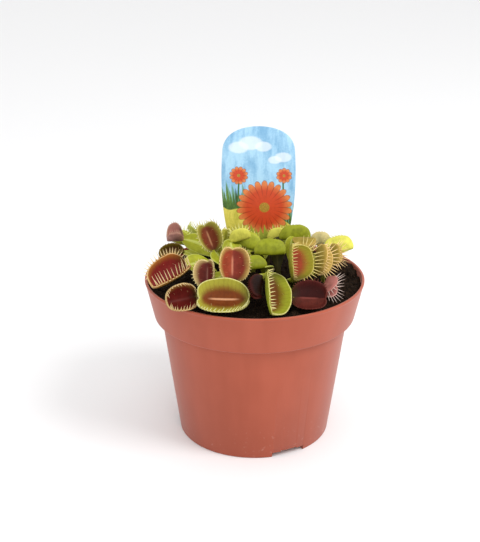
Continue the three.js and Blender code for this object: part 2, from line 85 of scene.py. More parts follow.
LOOKS = {
    "ember": Look("7a2420", "a9702f", 0.08, "4f4a1e", "dcc48e", "7a3226"),
    "brick": Look("7a3a24", "a09a42", 0.28, "8e9032", "c9c07c", "bd8a60"),
    "rose": Look("9e462e", "c2a45c", 0.15, "8a7a30", "d8c084", "d08a6c", "86362a"),
    "garnet": Look("70302a", "c2a870", 0.24, "b0a05c", "d8c890", "9a6a5c"),
    "wine": Look("5c1712", "94682f", 0.09, "5a4c20", "d8c08a", "5f2018"),
    "meadow": Look("6e340f", "9c9634", 0.36, "7c842a", "dedb9a", "dfa57c"),
    "maroon": Look("340a07", "46120e", 0.12, "220a03", "5a261c", "7c3c34", "5a241c"),
    "apple": Look("643704", "8c9024", 0.36, "7c8424", "dcd28c", "8c6420"),
    "peach": Look("983e22", "948c2a", 0.34, "8c862c", "d8c47a", "b87040"),
    "straw": Look("70601c", "b8984c", 0.30, "8e7a2e", "ecc88c", "9c8c44"),
    "sand": Look("a89a5c", "c4b47c", 0.40, "beb078", "e0d4ac", "b8aa74"),
    "pink": Look("7c4039", "a86860", 0.16, "8c544c", "dcc4b8", "b4786e"),
    "plum": Look("a46c62", "a07064", 0.14, "b4847a", "b8947a", "a4706a"),
    "bark": Look("482814", "605014", 0.20, "5c4812", "8c7034", "6c4c28"),
    "lime": Look("a0a42c", "acb03c", 0.40, "9ea428", "dcdc88", "c0c25c"),
    "lemon": Look("bcba46", "c8c454", 0.40, "c4c04e", "dcd888", "d0cc6c"),
    "olive": Look("808620", "8c9028", 0.40, "868c1c", "c8bc6c", "a0a044"),
}

# Each leaf in millimetres and degrees: its foot on the peat, the joint of stalk and trap, the trap's
# heading, climb and roll, its length, the depth of a lobe, the angle between the lobes, how far the
# teeth of each lobe lean in, half the number of teeth on a lobe, the stalk's width, arch and twist, and
# its look. lead is the share of the stalk's reach in line with the trap, fringe the length of each
# lobe's teeth as a share of the trap's, crown how much longer they are at its far end and sweep how
# far they turn to it, and shaded marks a stalk painted dark as painted shade, for the hollow under
# the leaves.
Leaf = namedtuple(
    "Leaf",
    "foot joint heading climb roll length depth gape lean teeth width arch twist look "
    "lead fringe crown sweep shaded",
    defaults=(0.22, (0.25, 0.25), 0, 0, False))

LEAVES = (
    Leaf((-20, -7), (-36.2, -15, 101.2), 220, -16, -24, 22.5, 12.5, 76, (-30, 42), 9, 13, 13, -30,
         "ember", fringe=(0.16, 0.34)),
    Leaf((-14.5, 7.5), (-41, 21.5, 103.4), 188, 0, -14, 7.5, 10, 60, (20, 40), 6, 13, 10, -35, "plum"),
    Leaf((-15, 0), (-22, 4, 102.6), 128, 53, -25, 15, 9.5, 84, (10, -20), 6, 14, 8, 0,
         "brick", fringe=(0.2, 0.16), crown=0.7),
    Leaf((-7, -19), (-11.4, -31, 98.5), 90, 62, 14, 16.8, 10.4, 102, (14, 14), 8, 7, 4, 0,
         "rose", fringe=(0.12, 0.12), crown=0.5),
    Leaf((-12, -8), (-24.9, -28.6, 94.3), 88, 60, -14, 13.5, 9, 76, (20, -10), 6, 12, 13, 0,
         "garnet", fringe=(0.16, 0.12)),
    Leaf((-15, -23), (-30, -40.8, 94.3), 205, -2.5, -56, 15.4, 10, 86, (45, 45), 8, 5, 1, 0,
         "wine", fringe=(0.25, 0.25)),
    Leaf((-12.5, -28.5), (-3.2, -47.6, 95.9), 180, 1, -42, 24.5, 11.2, 118, (12, 42), 10, 5, 6, 0,
         "meadow", lead=0.06, fringe=(0.04, 0.19), sweep=-0.5),
    Leaf((1, -20), (3.3, -32.2, 101.6), 268, -24, 78, 13.5, 7, 16, (30, 30), 7, 6, 10, 0,
         "maroon", fringe=(0.1, 0.1)),
    Leaf((11.4, -24.2), (7.8, -36.2, 105), 274, -38, -42, 22.6, 11.5, 90, (38, 18), 9, 5.5, 12, 0,
         "apple", fringe=(0.15, 0.05)),
    Leaf((17, -22), (19.4, -40.5, 94.3), -6, 0, 40, 16.5, 9.5, 124, (14, 14), 8, 6, 5, 0,
         "maroon", fringe=(0.12, 0.12)),
    Leaf((20, -12), (20.5, -27, 98.6), 93, 62, 42, 17.2, 12, 85, (-20, 22), 8, 7, 5, 0,
         "peach", fringe=(0.24, 0.14), crown=0.9),
    Leaf((27, -8), (33, -17.4, 98.2), 78, 60, 84, 14.5, 10, 80, (-25, 10), 7, 7, 5, 0,
         "straw", fringe=(0.36, 0.2)),
    Leaf((29, -18), (35.4, -34.6, 94), 70, 22, 96, 11, 7.5, 50, (-35, -35), 5, 5, 3, 0,
         "pink", lead=0.12, fringe=(0.45, 0.45)),
    Leaf((30, 6), (39, 10, 99), 20, 8, -60, 16, 9, 60, (40, 40), 7, 8, 8, 0, "lemon"),
    Leaf((13, 3), (14.6, 12.5, 107.6), -5, 3, -38, 15, 8, 44, (60, 60), 7, 9.5, 6, 0,
         "olive", fringe=(0.1, 0.1), shaded=True),
    Leaf((27, 14), (31.8, 22, 100.5), 10, 10, -40, 10, 6.5, 42, (40, 40), 5, 7, 6, 0, "sand"),
    Leaf((5, -5), (5.6, -14, 101), 195, 0, 62, 10, 7, 40, (50, 50), 5, 8, 6, 0, "olive"),
    Leaf((-10, 13), (-15.2, 18.6, 98.5), 95, 60, -10, 10.5, 7, 40, (30, 30), 6, 7.5, 6, 0, "lemon"),
    Leaf((-1, 6), (2.6, 13, 101), 178, 12, 50, 14, 9, 44, (40, 40), 6, 13, 6, 0, "lime"),
    Leaf((-14, 25), (-28, 37, 95.5), 125, 5, 10, 15, 10.5, 74, (15, 35), 8, 9, 7, 0, "lime"),
    Leaf((-2, 33), (0, 41, 96), 95, 10, 0, 14, 9, 75, (30, 30), 6, 8, 5, 0, "apple"),
    Leaf((21, -2), (21.5, 1.6, 110.4), -2, 0, 138, 10.5, 7.5, 60, (20, -5), 7, 7, 10, 0,
         "straw", fringe=(0.1, 0.4)),
    Leaf((-22, 19), (-36.5, 30, 97), 160, 8, 20, 13, 8.5, 50, (30, 30), 6, 8, 7, 0, "lime"),
    Leaf((37, -5), (41.5, -1.5, 97.5), 80, 60, 86, 10, 7, 50, (-25, -25), 6, 5, 3, 0,
         "straw", fringe=(0.5, 0.5)),
    Leaf((-9, 33), (-13, 45, 94), 112, 0, 5, 10, 6.5, 55, (30, 30), 5, 7, 4, 0, "olive"),
    Leaf((7.5, 20), (8, 19.5, 104.8), 0, 5, -30, 9, 6.5, 50, (20, 20), 5, 7, 14, 0, "lemon", shaded=True),
    Leaf((-27, 5), (-39.8, 7.8, 101), 196, -8, -30, 12, 6.5, 60, (30, 35), 6, 9, 6, 0, "bark"),
    Leaf((-7, -2), (-13, 7.5, 107.5), 8, 12, -28, 10, 6.5, 50, (-10, -10), 5, 12, 9, 0,
         "lemon", fringe=(0.3, 0.3)),
    Leaf((5, 4), (0.7, -3, 104.5), 2, 0, -52, 14.9, 8.5, 40, (60, 60), 6, 7, 10, 0,
         "olive", fringe=(0.1, 0.1), shaded=True),
)

# Form of a trap, in millimetres, or in shares of its length where a name says so. A lobe bends through
# LOBE_CURL from midrib to margin, and bulges past the midrib's heel and past its far end. MARGIN_WAVES
# is how many long waves and how many short ones the margin has.
LARGE_TRAP = 14
LOBE_THICK = 0.9
LOBE_CURL = math.radians(55)
LOBE_BULGE_SHARES = (0.05, 0.2)
MARGIN_POWER = 0.88
MARGIN_WAVES = (2.3, 5.1)
MARGIN_WAVE_SHARE = 0.014
RIB_THICK = 1.5
RIB_REACH = 1.6
RIB_SAG_SHARE = 0.05

# Form of the teeth and the trigger hairs, in millimetres and degrees. A tooth's profile is its width
# and height from ring to ring, in shares of the whole. A trap from FULL_TOOTH_TRAP up has teeth of full
# width, and a lobe whose fringe is no more than NO_FRINGE has none. A hair's place is its share of the
# way along the trap and out from the midrib.
TOOTH_PROFILE = ((0.62, 0.1), (0.42, 0.28), (0.33, 0.52), (0.2, 0.78), (0.05, 1.0))
TOOTH_DEPTH = 0.36
TOOTH_SINK = 0.35
TOOTH_FIRST = 0.13
TOOTH_END_SHARE = 0.75
TOOTH_LEAN_DRAW = 7
TOOTH_SWEEP_DRAW = 0.1
TOOTH_LENGTH_DRAW = (0.86, 1.02)
FULL_TOOTH_TRAP = 16
NO_FRINGE = 0.06
EDGE_STEP = 0.05
HAIR_PLACES = ((0.36, 0.46), (0.5, 0.62), (0.64, 0.46))
HAIR_WIDTH = 0.11
HAIR_SINK = 0.1

# Form of a stalk, in millimetres and shares of its width or length.
STALK_ROWS = 26
STALK_COLUMNS = 8
STALK_ROOT = 1.5
STALK_NECK = 0.85
STALK_THICK = 1.5
STALK_EDGE = 0.7
STALK_TAPER = 1.5
STALK_SWELL = 0.8
STALK_FOLD = 0.18
STALK_WAVE = 0.05
STALK_SOCKET = 0.8
STALK_DEPTH = 9
STALK_INTO_TRAP = 0.06
STALK_STRAIGHT_SHARE = 0.2


# Settings that a user would change
def length(name, description, default):
    """A length, whose default is in metres."""
    return FloatProperty(name=name, description=description, default=default, unit="LENGTH")


def number(name, description, default, fewest, most):
    """A whole number between two others."""
    return IntProperty(name=name, description=description, default=default, min=fewest, max=most)


def paint(name, description, code):
    """A colour, whose default is a hex code."""
    return FloatVectorProperty(
        name=name, description=description, default=srgb(code), subtype="COLOR", size=3)


class PotSettings(bpy.types.PropertyGroup):
    """Sizes and colour of the pot."""

    collar: length("Collar", "Height of the wide collar under the rim", 21.5 * MM)
    wall: length("Wall", "Thickness of the moulded wall", 1.3 * MM)
    sides: number("Sides", "Faces round the pot", 160, 24, 320)
    colour: paint("Plastic", "Colour of the moulded plastic", "a04a31")


class PeatSettings(bpy.types.PropertyGroup):
    """Sizes and colour of the peat."""

    crumbs: number("Crumbs", "Loose crumbs on the surface", 900, 0, 2000)
    fibres: number("Fibres", "Loose root fibres on the surface", 150, 0, 600)
    relief: length("Relief", "Height of the finer lumps", 0.9 * MM)
    colour: paint("Peat", "Colour of the peat", "150e09")


class LabelSettings(bpy.types.PropertyGroup):
    """Sizes and colours of the plant label."""

    thickness: length("Thickness", "Thickness of the plastic sheet", LABEL_HIGH.y - LABEL_LOW.y)
    sky: paint("Sky", "Colour of the printed sky", "76a9cd")
    bloom: paint("Bloom", "Colour of the printed flowers", "c9451f")
    ground: paint("Ground", "Colour of the printed ground", "e4d664")


class LeafSettings(bpy.types.PropertyGroup):
    """Fineness and colour of the leaves."""

    rows: number("Rows", "Rows of faces along a trap", 28, 12, 64)
    tooth_width: length("Tooth width", "Width of a tooth at its root", 1.15 * MM)
    hair_length: length("Trigger hairs", "Length of the hairs inside a trap", 1.6 * MM)
    stalk: paint("Stalk", "Colour of the winged stalks", "a3a62a")


class StageSettings(bpy.types.PropertyGroup):
    """Camera and light."""

    distance: length("Distance", "Camera's distance from the pot's axis", 0.5419)
    height: length("Height", "Camera's height over the floor", 0.3026)
    pitch: FloatProperty(
        name="Pitch", description="How far the camera looks down",
        default=math.radians(21.19), subtype="ANGLE")
    yaw: FloatProperty(
        name="Yaw", description="How far the camera turns to the left", default=0.01472, subtype="ANGLE")
    lens: FloatProperty(
        name="Lens", description="Focal length on a 36 mm sensor", default=70.5)
    key: FloatProperty(
        name="Key light", description="Power of the soft light from the upper right",
        default=8.0, subtype="POWER")
    air: FloatProperty(
        name="Air", description="Strength of the light from all round", default=1.0)


# Modelling helpers
def deselect():
    bpy.ops.object.select_all(action="DESELECT")


def focus(*pieces):
    """Selects only these pieces and makes the first of them the active one."""
    deselect()
    for piece in pieces:
        piece.select_set(True)
    bpy.context.view_layer.objects.active = pieces[0]


def added(name):
    """Names the primitive that an operator has just added."""
    piece = bpy.context.active_object
    piece.name = name
    return piece


def modify(piece, kind, **settings):
    """Adds a modifier and applies it."""
    focus(piece)
    modifier = piece.modifiers.new(kind.title(), kind)
    for name, value in settings.items():
        setattr(modifier, name, value)
    bpy.ops.object.modifier_apply(modifier=modifier.name)


def cut(piece, cutter):
    """Takes a cutter out of a piece and removes it."""
    modify(piece, "BOOLEAN", operation="DIFFERENCE", solver="EXACT", object=cutter)
    bpy.data.objects.remove(cutter)


def bevel(piece, width, angle):
    """Rounds the edges that turn by more than an angle in degrees."""
    modify(piece, "BEVEL", width=width, segments=2, limit_method="ANGLE", angle_limit=math.radians(angle))


def thicken(piece, thick, thin, weights, **settings):
    """Gives a sheet a thickness in millimetres, from thin where its points weigh 0 to thick where they
    weigh 1, and smooths it."""
    group = piece.vertex_groups.new(name="thick")
    for index, weight in enumerate(weights):
        group.add([index], weight, "REPLACE")
    modify(piece, "SOLIDIFY", thickness=thick * MM, vertex_group=group.name,
           thickness_vertex_group=thin / thick, **settings)
    piece.vertex_groups.clear()
    modify(piece, "SUBSURF", levels=1, render_levels=1)


def coat(piece, *looks):
    """Gives a piece these materials in place of any that it has."""
    piece.data.materials.clear()
    for look in looks:
        piece.data.materials.append(look)


@contextmanager
def editing(piece, selection="SELECT"):
    """Edit mode on a piece, which starts with all of it selected, or none of it with DESELECT."""
    focus(piece)
    bpy.ops.object.mode_set(mode="EDIT")
    bpy.ops.mesh.select_all(action=selection)
    yield
    bpy.ops.object.mode_set(mode="OBJECT")


def tidy_mesh(piece, outwards=True):
    """Merges doubled points and turns every face outwards, which an open sheet goes without."""
    with editing(piece):
        bpy.ops.mesh.remove_doubles(threshold=MERGE_WITHIN)
        if outwards:
            bpy.ops.mesh.normals_make_consistent(inside=False)


def rounded(corners, steps=6):
    """Rounds a profile of (radius, height, rounding) corners and returns its (radius, height) points."""
    points = []
    for i, (radius, height, rounding) in enumerate(corners):
        here = Vector((radius, height))
        if rounding == 0 or i in (0, len(corners) - 1):
            points.append(here)
            continue
        before = here + (Vector(corners[i - 1][:2]) - here).normalized() * rounding
        after = here + (Vector(corners[i + 1][:2]) - here).normalized() * rounding
        for k in range(steps + 1):
            t = k / steps
            points.append(before * (1 - t) ** 2 + here * 2 * t * (1 - t) + after * t ** 2)
    return points


def extrude_rings(radius, height, rings):
    """Extrudes the selected ring upwards and scales it, from each (radius, height) to the next."""
    for next_radius, next_height in rings:
        move = {"value": (0, 0, next_height - height)}
        bpy.ops.mesh.extrude_region_move(TRANSFORM_OT_translate=move)
        scale = next_radius / radius
        bpy.ops.transform.resize(value=(scale, scale, 1), center_override=(0, 0, next_height))
        radius, height = next_radius, next_height


def turned(name, points, sides):
    """A closed body round Z: a circle extruded from ring to ring along a profile, filled at both ends."""
    deselect()
    radius, height = points[0]
    bpy.ops.mesh.primitive_circle_add(vertices=sides, radius=radius, location=(0, 0, height))
    piece = added(name)
    with editing(piece):
        extrude_rings(radius, height, points[1:])
        bpy.ops.mesh.edge_face_add()
        bpy.ops.mesh.select_all(action="DESELECT")
        bpy.ops.mesh.select_non_manifold()
        bpy.ops.mesh.edge_face_add()
    settle(piece)
    tidy_mesh(piece)
    return piece


def sheet(name, rows, columns, place):
    """A grid whose points move to place(u, v), u along it and v across it, with a UV map to match."""
    deselect()
    bpy.ops.mesh.primitive_grid_add(x_subdivisions=rows, y_subdivisions=columns, size=2)
    piece = added(name)
    for point in piece.data.vertices:
        point.co = place((point.co.x + 1) / 2, (point.co.y + 1) / 2)
    return piece


def bezier(points, t):
    """A point of a cubic curve and the way it runs there."""
    a, b, c, d = points
    s = 1 - t
    point = a * s ** 3 + b * 3 * s * s * t + c * 3 * s * t * t + d * t ** 3
    slope = (b - a) * 3 * s * s + (c - b) * 6 * s * t + (d - c) * 3 * t * t
    return point, slope.normalized()


def settle(piece):
    """Puts a piece's place into its mesh."""
    focus(piece)
    bpy.ops.object.transform_apply(location=True, rotation=True, scale=True)


def copy_of(piece, matrix):
    """A copy with its own mesh, put in place by a matrix."""
    copy = piece.copy()
    copy.data = piece.data.copy()
    copy.data.transform(matrix)
    bpy.context.collection.objects.link(copy)
    return copy


def joined(pieces):
    """Joins pieces into the first of them."""
    focus(*pieces)
    bpy.ops.object.join()
    return pieces[0]


def hand_over(piece, node, angle=None):
    """Finishes a piece: smooth shading, its body and the node it stands for."""
    settle(piece)
    if angle is None:
        bpy.ops.object.shade_smooth()
    else:
        bpy.ops.object.shade_smooth_by_angle(angle=math.radians(angle))
    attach(piece, "root")
    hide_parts(node)


# Shader expressions
def math_node(operation, swapped=False):
    """A method that adds a Math node for a field and the value beside it."""
    def method(field, other):
        values = (other, field) if swapped else (field, other)
        return field.shade.math(operation, *values)
    return method


class Field:
    """A socket that varies over a surface. Its operators add the Math nodes."""

    __add__ = math_node("ADD")
    __radd__ = math_node("ADD", swapped=True)
    __sub__ = math_node("SUBTRACT")
    __rsub__ = math_node("SUBTRACT", swapped=True)
    __mul__ = math_node("MULTIPLY")
    __rmul__ = math_node("MULTIPLY", swapped=True)
    __truediv__ = math_node("DIVIDE")
    __pow__ = math_node("POWER")

    def __init__(self, shade, socket):
        self.shade = shade
        self.socket = socket

    def __abs__(self):
        return self.shade.math("ABSOLUTE", self)


class Shade:
    """The nodes of one material round its Principled shader."""

    def __init__(self, name, **constants):
        self.material = bpy.data.materials.new(name)
        self.material.use_nodes = True
        self.tree = self.material.node_tree
        self.shader = self.tree.nodes["Principled BSDF"]
        self.colour = None
        for socket, value in constants.items():
            self.shader.inputs[socket.replace("_", " ")].default_value = value
        self.place = self.node("ShaderNodeTexCoord", {}, output="Object")
        self.map = self.node("ShaderNodeTexCoord", {}, output="UV")

    def node(self, kind, sockets, output=0, **settings):
        """Adds a node with its settings and the values or links of its sockets, and gives an output."""
        made = self.tree.nodes.new(kind)
        for name, value in settings.items():
            setattr(made, name, value)
        for name, value in sockets.items():
            if isinstance(name, int):
                target = made.inputs[name]
            else:
                target = next(s for s in made.inputs if s.enabled and s.name == name)
            if isinstance(value, Field):
                self.tree.links.new(value.socket, target)
            elif target.type == "RGBA" and len(value) == 3:
                target.default_value = (*value, 1)
            else:
                target.default_value = value
        if isinstance(output, int):
            return Field(self, [s for s in made.outputs if s.enabled][output])
        return Field(self, made.outputs[output])

    def math(self, operation, *values):
        return self.node("ShaderNodeMath", dict(enumerate(values)), operation=operation)

    def sin(self, value):
        return self.math("SINE", value)

    def smooth(self, value, low, high):
        """0 below low and 1 above high, with a soft step between. low may be above high."""
        if low > high:
            return 1 - self.smooth(value, high, low)
        sockets = {"Value": value, "From Min": low, "From Max": high}
        return self.node("ShaderNodeMapRange", sockets, interpolation_type="SMOOTHSTEP")

    def mix(self, factor, a, b):
        return self.node("ShaderNodeMix", {"Factor": factor, "A": a, "B": b}, data_type="RGBA")

    def scaled_up(self, amount):
        """The piece's own coordinates with their height scaled by an amount."""
        return self.node("ShaderNodeMapping", {"Vector": self.place, "Scale": (1, 1, amount)})

    def noise(self, size, detail=3.0, rough=0.55, at=None):
        """Noise with lumps of that size in millimetres, from 0 to 1."""
        sockets = {"Vector": at or self.place, "Scale": 1 / (size * MM)}
        return self.node("ShaderNodeTexNoise", {**sockets, "Detail": detail, "Roughness": rough})

    def cells(self, size):
        """The distance from the middle of cells of that size in millimetres."""
        return self.node("ShaderNodeTexVoronoi", {"Vector": self.place, "Scale": 1 / (size * MM)})

    def axis(self, vector, name):
        """One of the three numbers of a vector."""
        return self.node("ShaderNodeSeparateXYZ", {"Vector": vector}, output=name)

    def lay(self, mask, tone):
        """Lays a tone over the colour so far, as far as the mask goes."""
        self.colour = self.mix(mask, self.colour, tone)

    def finish(self, roughness, height, strength, depth):
        """Feeds the shader: the colour, a roughness, and a bump from a height, depth in millimetres."""
        sockets = {"Height": height, "Strength": strength, "Distance": depth * MM}
        bump = self.node("ShaderNodeBump", sockets)
        for field, socket in ((self.colour, "Base Color"), (roughness, "Roughness"), (bump, "Normal")):
            self.tree.links.new(field.socket, self.shader.inputs[socket])
        return self.material


# Pot
FOOT_RADIUS = 42.1 * MM
FOOT_RING = 3 * MM
RECESS = 3.2 * MM
FLOOR_TOP = 5 * MM
BODY_TOP_RADIUS = 51.4 * MM
COLLAR_FOOT_RADIUS = 55.1 * MM
LIP_FOOT = 1.6 * MM
LIP_HEIGHT = 1.1 * MM
NOTCH_TURNS = (26.8, 146.8, 266.8)
NOTCH_STEPS = ((19 * MM, 2.85 * MM), (9.5 * MM, 3.6 * MM))
NOTCH_DEEP = 12 * MM
NOTCH_CIRCLE = 40.6 * MM
DRAINS = 6
DRAIN_RADIUS = 4.5 * MM
DRAIN_CIRCLE = 26 * MM
DRAIN_DEEP = 12 * MM
DRAIN_MIDDLE = 4 * MM


def pot_profile(settings):
    """Corners of the pot's profile, from the recess under its floor round to the top of the floor."""
    wall = settings.wall
    step = POT_HEIGHT - settings.collar
    ring_inner = FOOT_RADIUS - FOOT_RING
    body_slope = (BODY_TOP_RADIUS - FOOT_RADIUS) / step
    collar_slope = (RIM_RADIUS - COLLAR_FOOT_RADIUS) / settings.collar
    return [
        (ring_inner, RECESS, 0),
        (ring_inner, 0, 0.4 * MM),
        (FOOT_RADIUS, 0, 0.7 * MM),
        (BODY_TOP_RADIUS, step, 0.9 * MM),
        (COLLAR_FOOT_RADIUS, step, 1.1 * MM),
        (RIM_RADIUS - LIP_FOOT * collar_slope, POT_HEIGHT - LIP_FOOT, 0.3 * MM),
        (RIM_RADIUS, POT_HEIGHT - LIP_HEIGHT, 0.35 * MM),
        (RIM_RADIUS, POT_HEIGHT, 0.45 * MM),
        (RIM_RADIUS - wall, POT_HEIGHT, 0.45 * MM),
        (COLLAR_FOOT_RADIUS + wall * collar_slope - wall, step + wall, 1.0 * MM),
        (BODY_TOP_RADIUS - wall, step + wall, 1.0 * MM),
        (FOOT_RADIUS + FLOOR_TOP * body_slope - wall, FLOOR_TOP, 0),
    ]


def pot_plastic(settings):
    """Satin moulded plastic: faint flow marks, a paler lip, painted shade and dust near the foot,
    scratches.
    """
    shade = Shade("Terracotta Plastic", Specular_IOR_Level=0.32, Sheen_Weight=0.15, Sheen_Roughness=0.45)
    height = shade.axis(shade.place, "Z")
    base = tuple(settings.colour)
    pale = toned(base, 1.06, 0.006)
    flow = shade.noise(9, 2, at=shade.scaled_up(0.16))
    cloud = shade.noise(38, 3)
    shade.colour = shade.mix(shade.smooth(flow * 0.4 + cloud * 0.6, 0.34, 0.68), toned(base, 0.95), pale)
    # The lip is paler.
    paler_lip = shade.smooth(height, POT_HEIGHT - LIP_FOOT, POT_HEIGHT - 0.2 * MM)
    shade.lay(paler_lip * 0.5, pale)
    # Painted shade: the body darkens towards the foot.
    painted_foot_shade = shade.smooth(height + (cloud - 0.5) * 12 * MM, 62 * MM, 2 * MM)
    shade.lay(painted_foot_shade * 0.2, toned(base, 0.4))
    dust = shade.smooth(shade.noise(2.2, 4), 0.6, 0.8) * shade.smooth(height, 30 * MM, 0.0)
    shade.lay(dust * 0.25, srgb("cdb4a4"))
    scratch = shade.noise(3, 5, 0.7, at=shade.scaled_up(9))
    roughness = 0.42 + cloud * 0.12 + scratch * 0.1
    grain = shade.noise(0.35, 2)
    return shade.finish(roughness, grain + scratch * 0.4 + flow * 0.4, 0.16, 0.05)


class OBJECT_OT_flytrap_pot(bpy.types.Operator):
    """Models the moulded pot: a turned wall with a collar, drain holes and a notched foot"""

    bl_idname = "object.flytrap_pot"
    bl_label = "Pot"

    def execute(self, context):
        settings = context.scene.flytrap_pot
        pot = turned("moulded_pot", rounded(pot_profile(settings)), settings.sides)
        for turn in NOTCH_TURNS:
            self.cut_notch(pot, math.radians(turn))
        for k in range(DRAINS):
            self.cut_drain(pot, k * 2 * math.pi / DRAINS)
        bevel(pot, 0.22 * MM, angle=50)
        coat(pot, pot_plastic(settings))
        hand_over(pot, "pot", angle=32)
        return {"FINISHED"}

    def cut_notch(self, pot, turn):
        """A stepped notch through the foot ring, wider at the bottom."""
        to_ring = Matrix.Rotation(turn, 4, "Z") @ Matrix.Translation((0, -NOTCH_CIRCLE, 0))
        for width, top in NOTCH_STEPS:
            deselect()
            bpy.ops.mesh.primitive_cube_add(size=1)
            notch = added("notch_cutter")
            notch.data.transform(to_ring @ Matrix.Diagonal((width, NOTCH_DEEP, 2 * top, 1)))
            cut(pot, notch)

    def cut_drain(self, pot, turn):
        """A round drain hole through the floor."""
        deselect()
        bpy.ops.mesh.primitive_cylinder_add(
            vertices=36, radius=DRAIN_RADIUS, depth=DRAIN_DEEP,
            location=(DRAIN_CIRCLE * math.cos(turn), DRAIN_CIRCLE * math.sin(turn), DRAIN_MIDDLE))
        cutter = added("drain_cutter")
        settle(cutter)
        cut(pot, cutter)


# Peat, in millimetres. Its sides are rings of radius and height, from the pot's step to its floor, and
# its crumbs and fibres are turned by up to FULL_TURN, in radians.
PEAT_LEVEL = 87.6
PEAT_MOUND = 1.2
PEAT_MOUND_RADIUS = 60
PEAT_RADIUS = 58.3
PEAT_ROWS = 124
PEAT_SIDES = ((53.9, 70.2), (49.7, 70.2), (41.1, 5.35))
HEAP_HEIGHT = 3.2
HEAP_X = 50
HEAP_Y = 19
HEAP_SPREAD = 60
CRUMB_REACH = 56.5
SMALLEST_CRUMB = 0.35
LARGE_CRUMB = 0.8
FIBRE_REACH = 53
FIBRE_LENGTH = 6
FIBRE_RADIUS = 0.09
FIBRE_BEND = 1.1
FIBRE_RISE = 0.5
FIBRE_LIFT = 0.35
FULL_TURN = 6.28


def peat_height(x, y):
    """The peat's main form at a point in millimetres: a mound, lumps and the heap by the rim."""
    mound = PEAT_MOUND * (1 - (x * x + y * y) / PEAT_MOUND_RADIUS ** 2)
    lumps = 0.9 * math.sin(0.31 * x + 1.3) * math.cos(0.27 * y + 0.4)
    crumbs = 0.54 * math.sin(0.83 * x - 0.61 * y)
    heap = HEAP_HEIGHT * math.exp(-((x - HEAP_X) ** 2 + (y - HEAP_Y) ** 2) / HEAP_SPREAD)
    return PEAT_LEVEL + mound + lumps + crumbs + heap


def peat_point(x, y, relief):
    """A point of the finished surface, in metres, from a place in millimetres."""
    coarse = noise.turbulence(Vector((x, y, 7)) / 3.4, 4, True) - 0.45
    fine = noise.noise(Vector((x, y, 3)) / 0.9)
    drop = max(0, math.hypot(x, y) / PEAT_RADIUS - 0.93) * 9
    lumps = Vector((0, 0, (coarse + 0.25 * fine) * relief))
    return Vector((x, y, peat_height(x, y) - drop)) * MM + lumps


def peat_look(settings):
    """Moist dark peat: near black with brown crumbs and pale threads."""
    shade = Shade("Dark Peat", Specular_IOR_Level=0.05)
    base = tuple(settings.colour)
    crumb = shade.noise(1.6, 6, 0.7)
    patch = shade.noise(11, 3)
    shade.colour = shade.mix(shade.smooth(crumb + patch * 0.3, 0.55, 0.85), base, toned(base, 2.6))
    thread = shade.smooth(abs(shade.noise(2.4, 5, 0.65) - 0.5), 0.012, 0.002)
    shade.lay(thread * 0.35, srgb("6d5138"))
    pit = shade.smooth(shade.noise(0.8, 4), 0.35, 0.6)
    return shade.finish(0.78 + crumb * 0.2, crumb * 1.4 + pit * 0.6, 0.9, 0.5)


